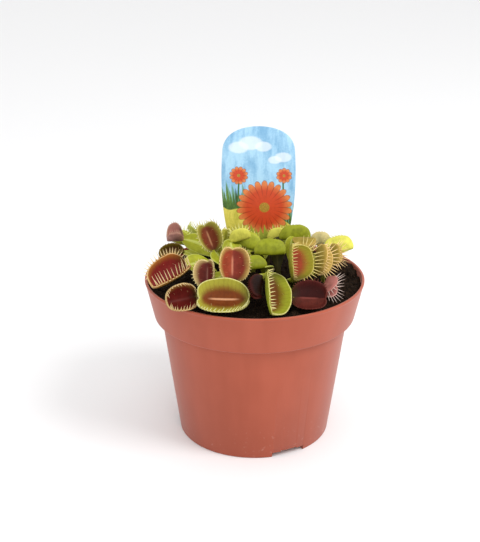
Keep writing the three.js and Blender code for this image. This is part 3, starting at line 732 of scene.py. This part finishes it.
class OBJECT_OT_flytrap_peat(bpy.types.Operator):
    """Models the peat: a lumpy body that fills the pot, with crumbs and fibres on it"""

    bl_idname = "object.flytrap_peat"
    bl_label = "Peat"

    def execute(self, context):
        settings = context.scene.flytrap_peat
        draw = random.Random(11)
        body = self.fill(settings)
        loose = self.crumbs(settings, draw) + self.fibres(settings, draw)
        peat = joined([body, *loose])
        coat(peat, peat_look(settings))
        hand_over(peat, "soil")
        return {"FINISHED"}

    def fill(self, settings):
        """The surface as a round grid, with the sides and bottom extruded down from its edge."""
        def place(u, v):
            x, y = 2 * u - 1, 2 * v - 1
            across = PEAT_RADIUS * x * math.sqrt(1 - y * y / 2)
            deep = PEAT_RADIUS * y * math.sqrt(1 - x * x / 2)
            return peat_point(across, deep, settings.relief)

        body = sheet("peat_fill", PEAT_ROWS, PEAT_ROWS, place)
        radius = PEAT_RADIUS
        with editing(body, "DESELECT"):
            bpy.ops.mesh.select_non_manifold()
            for next_radius, height in PEAT_SIDES:
                bpy.ops.mesh.extrude_region_move()
                scale = next_radius / radius
                bpy.ops.transform.resize(value=(scale, scale, 0), center_override=(0, 0, height * MM))
                radius = next_radius
            bpy.ops.mesh.edge_face_add()
        tidy_mesh(body)
        return body

    def seat(self, settings, draw, reach):
        """A random place on the surface, even over its area."""
        radius = reach * math.sqrt(draw.random())
        turn = draw.uniform(0, 2 * math.pi)
        return peat_point(radius * math.cos(turn), radius * math.sin(turn), settings.relief)

    def crumbs(self, settings, draw):
        """Three rough lumps, modelled once each and copied over the surface."""
        models = []
        for k, subdivisions in enumerate((2, 1, 1)):
            deselect()
            bpy.ops.mesh.primitive_ico_sphere_add(subdivisions=subdivisions, radius=MM)
            model = added("crumb_model")
            for point in model.data.vertices:
                swell = 1 + 0.5 * noise.noise(point.co / MM * 1.3 + Vector((k * 9, 0, 0)))
                point.co = point.co * swell
            models.append(model)
        copies = []
        for _ in range(settings.crumbs):
            size = SMALLEST_CRUMB + draw.random() ** 3
            model = models[0] if size > LARGE_CRUMB else models[draw.choice((1, 2))]
            angle = draw.uniform(0, FULL_TURN)
            turn = Matrix.Rotation(angle, 4, Vector((draw.random(), draw.random(), 1)))
            wide = size * draw.uniform(0.8, 1.4)
            shape = Matrix.Diagonal((wide, size, size * draw.uniform(0.5, 0.9), 1))
            lift = Matrix.Translation(self.seat(settings, draw, CRUMB_REACH))
            copies.append(copy_of(model, lift @ turn @ shape))
        for model in models:
            bpy.data.objects.remove(model)
        return copies

    def fibres(self, settings, draw):
        """A thin bent thread, modelled once and laid over the surface."""
        deselect()
        bpy.ops.mesh.primitive_cylinder_add(
            vertices=4, radius=FIBRE_RADIUS * MM, depth=FIBRE_LENGTH * MM, rotation=(0, math.pi / 2, 0))
        model = added("fibre_model")
        settle(model)
        with editing(model):
            for across in range(1 - FIBRE_LENGTH // 2, FIBRE_LENGTH // 2):
                bpy.ops.mesh.bisect(plane_co=(across * MM, 0, 0), plane_no=(1, 0, 0))
                bpy.ops.mesh.select_all(action="SELECT")
        for point in model.data.vertices:
            share = point.co.x / (FIBRE_LENGTH / 2 * MM)
            bend = Vector((0, FIBRE_BEND * share * share, FIBRE_RISE * math.sin(2.2 * share)))
            point.co += bend * MM
        copies = []
        for _ in range(settings.fibres):
            turn = Matrix.Rotation(draw.uniform(0, FULL_TURN), 4, "Z")
            tilt = Matrix.Rotation(draw.uniform(-0.3, 0.3), 4, "Y")
            shape = Matrix.Scale(draw.uniform(0.5, 1.2), 4)
            seat = self.seat(settings, draw, FIBRE_REACH) + Vector((0, 0, FIBRE_LIFT * MM))
            copies.append(copy_of(model, Matrix.Translation(seat) @ turn @ tilt @ shape))
        bpy.data.objects.remove(model)
        return copies


# Plant label. Widths are half widths. The shares are how much of the grid's length has passed at the
# stake's point, at the foot and the top of its shoulders, and where the round top springs.
LABEL_CENTRE = (LABEL_LOW.x + LABEL_HIGH.x) / 2
LABEL_ROWS = 60
LABEL_COLUMNS = 14
STAKE_WIDE = 5.5 * MM
STAKE_POINT = 8 * MM
STAKE_TOP = 92 * MM
WAIST_WIDE = 15.75 * MM
WAIST_HEIGHT = 99 * MM
BELLY_WIDE = 21.1 * MM
BELLY_HEIGHTS = (118 * MM, 138 * MM)
CROWN_WIDE = 20.1 * MM
CROWN_ROUND = 15 * MM
CROWN_SHOULDER = 4 * MM
POINT_SHARE = 0.06
STAKE_SHARE = 0.2
WAIST_SHARE = 0.26
CROWN_SHARE = 0.66
PRINT_FOOT = 108 * MM


def label_edge(u):
    """Half the label's width and the height there, from the tip of its stake at 0 to its top at 1."""
    top = LABEL_HIGH.z
    springing = top - CROWN_ROUND
    stops = (
        (0.0, 0, LABEL_LOW.z),
        (POINT_SHARE, STAKE_WIDE, LABEL_LOW.z + STAKE_POINT),
        (STAKE_SHARE, STAKE_WIDE, STAKE_TOP),
        (WAIST_SHARE, WAIST_WIDE, WAIST_HEIGHT),
    )
    for (u0, w0, z0), (u1, w1, z1) in zip(stops, stops[1:]):
        if u <= u1:
            t = (u - u0) / (u1 - u0)
            return Vector((w0 + (w1 - w0) * t, z0 + (z1 - z0) * t))
    if u < CROWN_SHARE:
        belly = [(BELLY_WIDE, height) for height in BELLY_HEIGHTS]
        corners = [(WAIST_WIDE, WAIST_HEIGHT), *belly, (CROWN_WIDE, springing)]
        t = (u - WAIST_SHARE) / (CROWN_SHARE - WAIST_SHARE)
    else:
        shoulder = (CROWN_WIDE, top - CROWN_SHOULDER)
        corners = [(CROWN_WIDE, springing), shoulder, (CROWN_WIDE / 2, top), (0, top)]
        t = (u - CROWN_SHARE) / (1 - CROWN_SHARE)
    return bezier([Vector(corner) for corner in corners], t)[0]


def printed_flower(shade, across, up, centre, radius, petals, colours):
    """Lays a printed round flower over what is there, from colours of its rays, its heart and its eye."""
    outer, inner, eye = colours
    dx, dz = across - centre[0], up - centre[1]
    reach = (dx * dx + dz * dz) ** 0.5
    turn = shade.math("ARCTAN2", dz, dx)
    lobes = abs(shade.sin(turn * (petals / 2)))
    edge = radius * (0.78 + 0.22 * lobes ** 0.55)
    outline = shade.smooth(reach - edge, 0.45, 0.2)
    shade.lay(outline * 0.75, toned(inner, 0.3))
    brush = shade.noise(2.2, 4, 0.6)
    petal = shade.mix(shade.smooth(reach + brush, radius * 1.05, radius * 0.62), outer, inner)
    petal = shade.mix(shade.smooth(brush, 0.4, 0.7) * 0.35, petal, toned(inner, 0.7))
    crease = shade.smooth(lobes, 0.4, 0.08) * shade.smooth(reach, radius * 0.3, radius * 0.6)
    petal = shade.mix(crease * 0.6, petal, toned(inner, 0.4))
    shade.lay(shade.smooth(reach - edge, 0.12, -0.12), petal)
    dots = shade.smooth(shade.cells(0.55), 0.42, 0.2)
    eye_look = shade.mix(dots * 0.7, toned(eye, 0.5), eye)
    shade.lay(shade.smooth(reach, radius * 0.2, radius * 0.17), eye_look)


def printed_blades(shade, across, up, pitch, foot, slope, tall, tone):
    """Lays a row of printed grass blades over what is there."""
    place = across * pitch + up * 0.06
    blade = abs(shade.math("FRACT", place) - 0.5)
    lift = shade.sin(shade.math("FLOOR", place) * 2.4) * tall * 0.3
    tips = foot - slope * (across + 20) + tall * (1 - 2 * blade) + lift
    shade.lay(shade.smooth(up - tips, 0.25, -0.25), tone)


def label_print(settings):
    """The printed face: a soft sky with clouds, grass, and orange flowers over a yellow ground."""
    shade = Shade("Label Print", Specular_IOR_Level=0.35, Coat_Weight=0.12, Coat_Roughness=0.18)
    across = (shade.axis(shade.place, "X") - LABEL_CENTRE) / MM
    up = (shade.axis(shade.place, "Z") - PRINT_FOOT) / MM
    stroke = shade.noise(5, 4, at=shade.scaled_up(0.25))
    fleck = shade.noise(0.9, 3)
    haze = shade.smooth(stroke + fleck * 0.2, 0.4, 0.75)
    shade.colour = shade.mix(haze, tuple(settings.sky), srgb("a9d2ea"))
    shade.lay(shade.smooth(stroke, 0.55, 0.75) * 0.3, srgb("6fa6b4"))
    puffs = ((-11, 47), 6), ((-4.5, 49.5), 7), ((2.5, 47.5), 5), ((9, 40), 4), ((13.5, 41.5), 5)
    for centre, size in puffs:
        dx, dz = (across - centre[0]) / size, (up - centre[1]) / (size * 0.6)
        puff = shade.smooth(dx * dx + dz * dz + fleck * 0.5, 1.35, 0.8)
        shade.lay(puff * 0.6, srgb("e6edf1"))
    grass_tone = shade.mix(shade.smooth(stroke + fleck * 0.3, 0.4, 0.85), srgb("34502c"), srgb("6d9440"))
    printed_blades(shade, across, up, 0.34, 19, 0.25, 8, srgb("6f9f8a"))
    printed_blades(shade, across, up, 0.62, 18, 0.4, 7, grass_tone)
    for stem, lean in ((-12.5, 0.06), (14.5, -0.03)):
        line = shade.smooth(abs(across - stem - lean * up), 0.55, 0.35) * shade.smooth(up, 31, 29)
        shade.lay(line, srgb("3c6a34"))
    bloom = (srgb("dd8a4c"), tuple(settings.bloom), srgb("d9a83a"))
    printed_flower(shade, across, up, (14.2, 31), 4.2, 10, bloom)
    printed_flower(shade, across, up, (-11, 31), 5, 12, bloom)
    ground = 7.5 - 0.28 * across + 1.1 * shade.sin(across * 0.5 + 0.6)
    patch = shade.smooth(stroke + fleck * 0.2, 0.4, 0.8)
    ground_tone = shade.mix(patch, tuple(settings.ground), srgb("a9a433"))
    shade.lay(shade.smooth(up - ground, 0.25, -0.25), ground_tone)
    printed_flower(shade, across, up, (3.4, 12.5), 15.5, 22, bloom)
    printed_blades(shade, across, up, 0.4, -6, -0.06, 6, srgb("a4ae3e"))
    grain = shade.noise(0.25, 2)
    return shade.finish(0.34 + grain * 0.1, grain, 0.08, 0.05)


def label_plastic():
    """The unprinted back and edges: white sheet plastic with fine scuffs."""
    shade = Shade("Label Plastic", Specular_IOR_Level=0.5)
    cloud = shade.noise(14, 3)
    scuff = shade.smooth(shade.noise(1.6, 5, 0.7, at=shade.scaled_up(6)), 0.58, 0.72)
    shade.colour = shade.mix(cloud * 0.6, srgb("f1f2ee"), srgb("dfe2dd"))
    shade.lay(scuff * 0.3, srgb("c9ccc6"))
    return shade.finish(0.34 + scuff * 0.2, scuff + cloud, 0.1, 0.05)


class OBJECT_OT_flytrap_label(bpy.types.Operator):
    """Models the plant label: a thin sheet with a round top and a stake, printed on its front"""

    bl_idname = "object.flytrap_label"
    bl_label = "Plant label"

    def execute(self, context):
        settings = context.scene.flytrap_label
        middle = (LABEL_LOW.y + LABEL_HIGH.y) / 2

        def place(u, v):
            half, height = label_edge(u)
            return Vector((LABEL_CENTRE + half * (2 * v - 1), middle, height))

        label = sheet("printed_label", LABEL_ROWS, LABEL_COLUMNS, place)
        coat(label, label_print(settings), label_plastic())
        tidy_mesh(label)
        modify(label, "SOLIDIFY", thickness=settings.thickness, offset=0)
        bevel(label, 0.12 * MM, angle=60)
        for face in label.data.polygons:
            front = face.normal.y < -0.9 and face.center.z > SOIL_HIGH.z
            face.material_index = 0 if front else 1
        tidy_mesh(label)
        hand_over(label, "plant_label", angle=35)
        return {"FINISHED"}


# Leaves
def trap_axes(leaf):
    """The trap's own axes in metres: along its midrib, across it and out of its mouth."""
    turn, climb = math.radians(leaf.heading), math.radians(leaf.climb)
    ahead = Vector((math.cos(turn), math.sin(turn), 0))
    up = Vector((0, 0, 1))
    along = ahead * math.cos(climb) + up * math.sin(climb)
    level = up * math.cos(climb) - ahead * math.sin(climb)
    mouth = Matrix.Rotation(math.radians(leaf.roll), 3, along) @ level
    across = mouth.cross(along)
    turned_axes = Matrix((along, across, mouth)).transposed().to_4x4()
    return Matrix.Translation(Vector(leaf.joint) * MM) @ turned_axes


def lobe_point(leaf, side, turn, reach, lift=0.0):
    """A point of a lobe in the trap's axes, in millimetres. turn runs 0 to pi along the margin and
    reach 0 to 1 from midrib to margin. lift moves the point out through the lobe's back."""
    along = math.sin(turn)
    half = leaf.length / 2
    rib = half - half * math.cos(turn)
    bulge = LOBE_BULGE_SHARES[0 if turn < math.pi / 2 else 1]
    margin = half - (half + bulge * leaf.length * along) * math.cos(turn)
    span = leaf.depth * max(0, along) ** MARGIN_POWER
    start = math.radians(90 - leaf.gape / 2) - LOBE_CURL / 2
    angle = start + LOBE_CURL * reach
    out = span / LOBE_CURL * (math.sin(angle) - math.sin(start))
    rise = span / LOBE_CURL * (math.cos(start) - math.cos(angle))
    sag = RIB_SAG_SHARE * leaf.length * along ** 2
    return Vector((
        rib + (margin - rib) * reach,
        side * (out + lift * math.sin(angle)),
        rise - sag - lift * math.cos(angle),
    ))


def trap_sheet(leaf, settings, waver, inside, back):
    """The two lobes as one sheet, thickened outwards, thickest along the midrib. The thickening gives
    its new faces the second material, which therefore has to be there before it."""
    large = leaf.length > LARGE_TRAP
    rows = settings.rows if large else settings.rows * 3 // 4
    columns = 14 if large else 12
    long_waves, short_waves = MARGIN_WAVES

    def place(u, v):
        reach = abs(2 * v - 1)
        side = 1 if v > 0.5 else -1
        point = lobe_point(leaf, side, math.pi * u, reach)
        ripple = math.sin(math.tau * (long_waves * u + waver))
        ripple += 0.5 * math.sin(math.tau * (short_waves * u - waver))
        point.z += MARGIN_WAVE_SHARE * leaf.length * ripple * reach ** 3 * math.sin(math.pi * u)
        return point * MM

    trap = sheet("trap", rows, columns, place)
    coat(trap, inside, back)
    tidy_mesh(trap, outwards=False)
    weights = [max(0, 1 - abs(point.co.y) / (RIB_REACH * MM)) for point in trap.data.vertices]
    thicken(trap, RIB_THICK, LOBE_THICK, weights, offset=-1, material_offset=1)
    return trap


def tooth_model():
    """One tooth of unit size: a small circle extruded five times to a point."""
    deselect()
    bpy.ops.mesh.primitive_circle_add(vertices=6, radius=1, fill_type="NGON")
    tooth = added("tooth_model")
    with editing(tooth):
        extrude_rings(1, 0, TOOTH_PROFILE)
        bpy.ops.mesh.select_all(action="SELECT")
        bpy.ops.mesh.normals_make_consistent(inside=False)
    chart = tooth.data.uv_layers[0].data
    for loop in tooth.data.loops:
        chart[loop.index].uv = (0.5, tooth.data.vertices[loop.vertex_index].co.z)
    return tooth


def spike_matrix(root, tip, sideways, width, depth):
    """Puts the unit tooth between two points."""
    along = tip - root
    length = along.length
    along.normalize()
    wide = (sideways - along * sideways.dot(along)).normalized()
    deep = along.cross(wide)
    basis = Matrix((wide * width, deep * depth, along * length)).transposed().to_4x4()
    return Matrix.Translation(root) @ basis


def teeth(leaf, model, settings, draw):
    """The teeth of both margins, one copy of the model each."""
    count = 2 * leaf.teeth
    middle = LOBE_THICK / 2
    width = settings.tooth_width / 2 * min(1, leaf.length / FULL_TOOTH_TRAP)
    spikes = []
    for side, fringe, lobe_lean in zip((-1, 1), leaf.fringe, leaf.lean):
        if fringe <= NO_FRINGE:
            continue
        for k in range(count):
            turn = math.pi * (TOOTH_FIRST + (1 - 2 * TOOTH_FIRST) * k / (count - 1))
            here = lobe_point(leaf, side, turn, 1, middle)
            edge = (lobe_point(leaf, side, turn + EDGE_STEP, 1, middle) - here).normalized()
            outward = here - lobe_point(leaf, side, turn, 1 - EDGE_STEP, middle)
            outward = (outward - edge * outward.dot(edge)).normalized()
            inward = edge.cross(outward) * side
            lean = math.radians(lobe_lean + draw.uniform(-TOOTH_LEAN_DRAW, TOOTH_LEAN_DRAW))
            share = TOOTH_END_SHARE + (1 - TOOTH_END_SHARE) * math.sin(turn)
            length = fringe * leaf.length * share * draw.uniform(*TOOTH_LENGTH_DRAW)
            length *= 1 + leaf.crown * k / (count - 1)
            way = outward * math.cos(lean) + inward * math.sin(lean)
            way += edge * (leaf.sweep + draw.uniform(-TOOTH_SWEEP_DRAW, TOOTH_SWEEP_DRAW))
            root = (here - outward * TOOTH_SINK) * MM
            tip = (here + way.normalized() * length) * MM
            spikes.append(copy_of(model, spike_matrix(root, tip, edge, width, TOOTH_DEPTH * MM)))
    return spikes


def trigger_hairs(leaf, model, settings):
    """Three fine hairs that stand up inside each lobe."""
    hairs = []
    for side in (-1, 1):
        for share, reach in HAIR_PLACES:
            root = lobe_point(leaf, side, math.pi * share, reach, HAIR_SINK)
            tip = lobe_point(leaf, side, math.pi * share, reach, -settings.hair_length / MM)
            width = HAIR_WIDTH * MM
            place = spike_matrix(root * MM, tip * MM, Vector((1, 0, 0)), width, width)
            hairs.append(copy_of(model, place))
    return hairs


def stalk_sheet(leaf, waver):
    """The winged stalk as a sheet along its centre line, thickened, thin at the wings' edges."""
    axes = trap_axes(leaf)
    ground = peat_height(*leaf.foot)
    root = Vector((*leaf.foot, ground - STALK_DEPTH))
    mouth_of_hole = Vector((*leaf.foot, ground + STALK_SOCKET))
    inside = Vector((leaf.length * STALK_INTO_TRAP, 0, -RIB_THICK / 2)) * MM
    end = (axes @ inside) / MM
    along = axes.to_3x3() @ Vector((1, 0, 0))
    lead = end - along * leaf.lead * (end - mouth_of_hole).length
    arch = (mouth_of_hole, mouth_of_hole + Vector((0, 0, leaf.arch)), lead, end)
    heading = math.atan2(end.y - leaf.foot[1], end.x - leaf.foot[0])
    level = Vector((-math.sin(heading), math.cos(heading), 0))

    def place(u, v):
        t = max(0, (u - STALK_STRAIGHT_SHARE) / (1 - STALK_STRAIGHT_SHARE))
        centre, tangent = bezier(arch, t)
        if u < STALK_STRAIGHT_SHARE:
            centre = root.lerp(mouth_of_hole, u / STALK_STRAIGHT_SHARE)
        wide = (level - tangent * level.dot(tangent)).normalized()
        twist = math.radians(leaf.twist) * min(1, 2 * t)
        wide = Matrix.Rotation(twist, 3, tangent) @ wide
        deep = tangent.cross(wide)
        swell = max(0, math.sin(math.pi * t ** STALK_TAPER)) ** STALK_SWELL
        foot = STALK_ROOT + (STALK_NECK - STALK_ROOT) * t
        half = max(foot, swell * leaf.width / 2)
        share = 2 * v - 1
        wave = STALK_WAVE * leaf.width * swell * share ** 2 * math.sin(9 * t + 3 * share + 6 * waver)
        fold = STALK_FOLD * half * swell * share ** 2
        return (centre + wide * half * share + deep * (fold + wave)) * MM

    stalk = sheet("stalk", STALK_ROWS, STALK_COLUMNS, place)
    columns = [i // (STALK_ROWS + 1) for i in range(len(stalk.data.vertices))]
    weights = [1 - abs(2 * column / STALK_COLUMNS - 1) for column in columns]
    thicken(stalk, STALK_THICK, STALK_EDGE, weights, offset=0)
    return stalk


def shell_fields(shade):
    """Fields of a trap, all 0 to 1: along it, across both lobes, out from the midrib, in from the
    margin, and how wide a lobe is there."""
    along = shade.axis(shade.map, "X")
    across = shade.axis(shade.map, "Y")
    reach = abs(across * 2 - 1)
    span = shade.sin(along * math.pi) ** MARGIN_POWER
    return along, across, reach, (1 - reach) * span, span


def trap_inside(name, look):
    """The inside of a trap: flesh, fine veins and glands, a pale midrib, its edge, a heel in painted
    shade.
    """
    shade = Shade(name + " inside", Specular_IOR_Level=0.1)
    along, across, reach, depth, span = shell_fields(shade)
    flesh = srgb(look.flesh)
    cloud = shade.noise(2.6, 3)
    fine = shade.noise(0.7, 3)
    edge = depth + (cloud - 0.5) * 0.16
    redness = shade.smooth(edge, look.spread - 0.2, look.spread + 0.3)
    # The second lobe's flesh: painted shade in the rose look, painted light in the maroon look.
    tone = shade.mix(shade.smooth(across, 0.47, 0.53), srgb(look.other or look.flesh), flesh)
    tone = shade.mix(shade.smooth(cloud, 0.72, 0.3) * 0.3, tone, toned(flesh, 0.15))
    shade.colour = shade.mix(redness, srgb(look.rim), tone)
    margin = shade.smooth(depth, 0.05, 0.012)
    shade.lay(margin * 0.6, srgb(look.tooth))
    wave = shade.sin(along * 120 + cloud * 6 + fine * 2)
    vein = shade.smooth(wave, 0.4, 0.95) * shade.smooth(reach, 0.1, 0.35)
    shade.lay(vein * 0.13, toned(flesh, 0.5))
    gland = shade.smooth(shade.cells(0.42), 0.34, 0.14)
    shade.lay(gland * redness * 0.3, toned(flesh, 0.55))
    line = shade.smooth(reach + (fine - 0.5) * 0.03, 0.08, 0.02) * shade.smooth(span, 0.74, 0.98)
    shade.lay(line * 0.65, srgb(look.rib))
    # Painted shade: the heel by the stalk is darkened as though in shadow.
    heel = shade.smooth(along + (cloud - 0.5) * 0.12, 0.37, 0.1)
    shade.lay(heel * 0.62, srgb("2a240a"))
    return shade.finish(0.4 + fine * 0.12, gland * 0.7 + vein * 0.6 + cloud * 0.6, 0.35, 0.16)


def trap_back(name, look):
    """The outside of a trap: green or flushed skin with ribs that run from midrib to margin."""
    shade = Shade(name + " back", Specular_IOR_Level=0.13)
    along, _, reach, depth, _ = shell_fields(shade)
    back = srgb(look.back)
    cloud = shade.noise(3.2, 3)
    fine = shade.noise(0.6, 3)
    tone = shade.mix(shade.smooth(cloud, 0.3, 0.7), toned(back, 0.76), toned(back, 1.08))
    flush = shade.smooth(shade.noise(5.5, 2), 0.48, 0.64)
    tone = shade.mix(flush * 0.55, tone, toned(back, 1.3, 0.01))
    margin = shade.smooth(depth + (cloud - 0.5) * 0.3, 0.3, 0.04)
    shade.colour = shade.mix(margin * 0.7, tone, srgb(look.rim))
    wave = shade.sin(along * 96 + cloud * 3 + fine * 1.2)
    vein = shade.smooth(wave, 0.3, 0.95) * shade.smooth(reach, 0.02, 0.2)
    shade.lay(vein * 0.1, toned(back, 1.4))
    freckle = shade.smooth(shade.cells(0.8), 0.3, 0.12) * shade.smooth(cloud, 0.5, 0.7)
    shade.lay(freckle * 0.16, toned(back, 0.5))
    return shade.finish(0.42 + fine * 0.12, vein * 0.3 + cloud * 0.8, 0.35, 0.2)


def tooth_look(name, look):
    """Teeth: the margin's colour at the root, paler along their length and brown at the tip."""
    shade = Shade(name + " teeth", Specular_IOR_Level=0.3)
    height = shade.axis(shade.map, "Y")
    fine = shade.noise(0.9, 2)
    shade.colour = shade.mix(shade.smooth(height, 0.02, 0.3), srgb(look.rim), srgb(look.tooth))
    shade.lay(shade.smooth(height + fine * 0.2, 0.85, 1.1) * 0.4, srgb("b98a5c"))
    return shade.finish(0.42 + fine * 0.1, fine, 0.15, 0.06)


def stalk_look(name, green, keel):
    """Winged stalk: green with a paler keel and edges, veins that run along it and painted shade by the
    peat.
    """
    shade = Shade(name, Specular_IOR_Level=0.13)
    along = shade.axis(shade.map, "X")
    across = shade.axis(shade.map, "Y")
    side = abs(across * 2 - 1)
    cloud = shade.noise(4, 3)
    fine = shade.noise(0.7, 3)
    tone = shade.mix(shade.smooth(cloud, 0.3, 0.72), toned(green, 0.72), green)
    shade.colour = shade.mix(shade.smooth(side, 0.22, 0.05) * 0.5, tone, keel)
    shade.lay(shade.smooth(side, 0.86, 0.98) * 0.5, keel)
    height = shade.axis(shade.place, "Z")
    # Painted shade: the stalk darkens towards the peat, under the leaves.
    low = shade.smooth(height + (cloud - 0.5) * 4 * MM, 99 * MM, 91 * MM)
    shade.lay(low * 0.85, srgb("3c3410"))
    vein = shade.smooth(shade.sin(across * 70 + along * 3 + fine), 0.5, 0.95)
    shade.lay(vein * 0.2, toned(green, 0.6))
    return shade.finish(0.4 + fine * 0.12, vein * 0.8 + cloud, 0.35, 0.18)


class OBJECT_OT_flytrap_leaves(bpy.types.Operator):
    """Models the leaves: each a winged stalk with a trap of two lobes, teeth and trigger hairs"""

    bl_idname = "object.flytrap_leaves"
    bl_label = "Leaves"

    def execute(self, context):
        settings = context.scene.flytrap_leaves
        draw = random.Random(29)
        model = tooth_model()
        plain_stalk = stalk_look("Winged Stalk", tuple(settings.stalk), srgb("d0d87c"))
        # Painted shade: a darker copy of the stalk material for stalks in the shaded hollow under the
        # leaves.
        shaded_stalk = stalk_look("Shaded Stalk", srgb("3c3a12"), srgb("5c5424"))
        looks = {
            name: (trap_inside(name, look), trap_back(name, look), tooth_look(name, look))
            for name, look in LOOKS.items()
        }
        for number, leaf in enumerate(LEAVES, 1):
            inside, back, tooth = looks[leaf.look]
            waver = draw.random()
            trap = trap_sheet(leaf, settings, waver, inside, back)
            spikes = teeth(leaf, model, settings, draw) + trigger_hairs(leaf, model, settings)
            for spike in spikes:
                coat(spike, tooth)
            trap = joined([trap, *spikes])
            trap.data.transform(trap_axes(leaf))
            stalk = stalk_sheet(leaf, waver)
            coat(stalk, shaded_stalk if leaf.shaded else plain_stalk)
            grown = joined([trap, stalk])
            grown.name = f"trap_leaf_{number:02d}"
            hand_over(grown, f"leaf_{number:02d}")
        bpy.data.objects.remove(model)
        return {"FINISHED"}


# Stage
FLOOR_RADIUS = 9
SENSOR_WIDTH = 36
AIM = Vector((0, 0, 0.08))


class OBJECT_OT_flytrap_stage(bpy.types.Operator):
    """Sets the pale floor, the soft light and the camera"""

    bl_idname = "object.flytrap_stage"
    bl_label = "Stage"

    def execute(self, context):
        settings = context.scene.flytrap_stage
        self.floor()
        self.light(context, settings)
        self.camera(context, settings)
        context.scene.view_settings.view_transform = "Standard"
        return {"FINISHED"}

    def floor(self):
        deselect()
        bpy.ops.mesh.primitive_circle_add(vertices=96, radius=FLOOR_RADIUS, fill_type="NGON")
        floor = added("pale_floor")
        paint = {"Base_Color": (0.86, 0.86, 0.865, 1), "Roughness": 0.7, "Specular_IOR_Level": 0.2}
        coat(floor, Shade("Pale Floor", **paint).material)

    def light(self, context, settings):
        world = bpy.data.worlds.new("Studio Air")
        world.use_nodes = True
        backdrop = world.node_tree.nodes["Background"]
        backdrop.inputs["Color"].default_value = (1, 1, 1, 1)
        backdrop.inputs["Strength"].default_value = settings.air
        context.scene.world = world
        lamps = (
            ("key_light", (0.75, -0.45, 1.0), 0.55, settings.key),
            ("front_light", (0.1, -1.3, 0.9), 0.9, settings.key * 0.55),
        )
        for name, place, size, power in lamps:
            bpy.ops.object.light_add(type="AREA", location=place)
            lamp = added(name)
            lamp.data.shape = "DISK"
            lamp.data.size = size
            lamp.data.energy = power
            lamp.rotation_euler = (AIM - Vector(place)).to_track_quat("-Z", "Y").to_euler()

    def camera(self, context, settings):
        bpy.ops.object.camera_add(
            location=(0, -settings.distance, settings.height),
            rotation=(math.pi / 2 - settings.pitch, 0, settings.yaw))
        camera = added("photo_camera")
        camera.data.lens = settings.lens
        camera.data.sensor_width = SENSOR_WIDTH
        context.scene.camera = camera


class VIEW3D_PT_flytrap(bpy.types.Panel):
    """Lists the pieces and their settings"""

    bl_label = "Potted Flytrap"
    bl_idname = "VIEW3D_PT_flytrap"
    bl_space_type = "VIEW_3D"
    bl_region_type = "UI"
    bl_category = "Flytrap"

    def draw(self, context):
        for operator, group, _ in PIECES:
            box = self.layout.box()
            box.operator(operator.bl_idname)
            settings = getattr(context.scene, group)
            for name in settings.__annotations__:
                box.prop(settings, name)


# What is made, in order: the operator, the name of its settings in the scene and their class.
PIECES = (
    (OBJECT_OT_flytrap_pot, "flytrap_pot", PotSettings),
    (OBJECT_OT_flytrap_peat, "flytrap_peat", PeatSettings),
    (OBJECT_OT_flytrap_label, "flytrap_label", LabelSettings),
    (OBJECT_OT_flytrap_leaves, "flytrap_leaves", LeafSettings),
    (OBJECT_OT_flytrap_stage, "flytrap_stage", StageSettings),
)
CLASSES = (*(row[2] for row in PIECES), *(row[0] for row in PIECES), VIEW3D_PT_flytrap)


def register():
    for each in CLASSES:
        bpy.utils.register_class(each)
    for _, name, group in PIECES:
        setattr(bpy.types.Scene, name, PointerProperty(type=group))


def unregister():
    for _, name, _ in PIECES:
        delattr(bpy.types.Scene, name)
    for each in reversed(CLASSES):
        bpy.utils.unregister_class(each)


def main():
    """Models every piece."""
    register()
    bpy.ops.object.flytrap_pot()
    bpy.ops.object.flytrap_peat()
    bpy.ops.object.flytrap_label()
    bpy.ops.object.flytrap_leaves()
    bpy.ops.object.flytrap_stage()


if __name__ == "__main__":
    main()
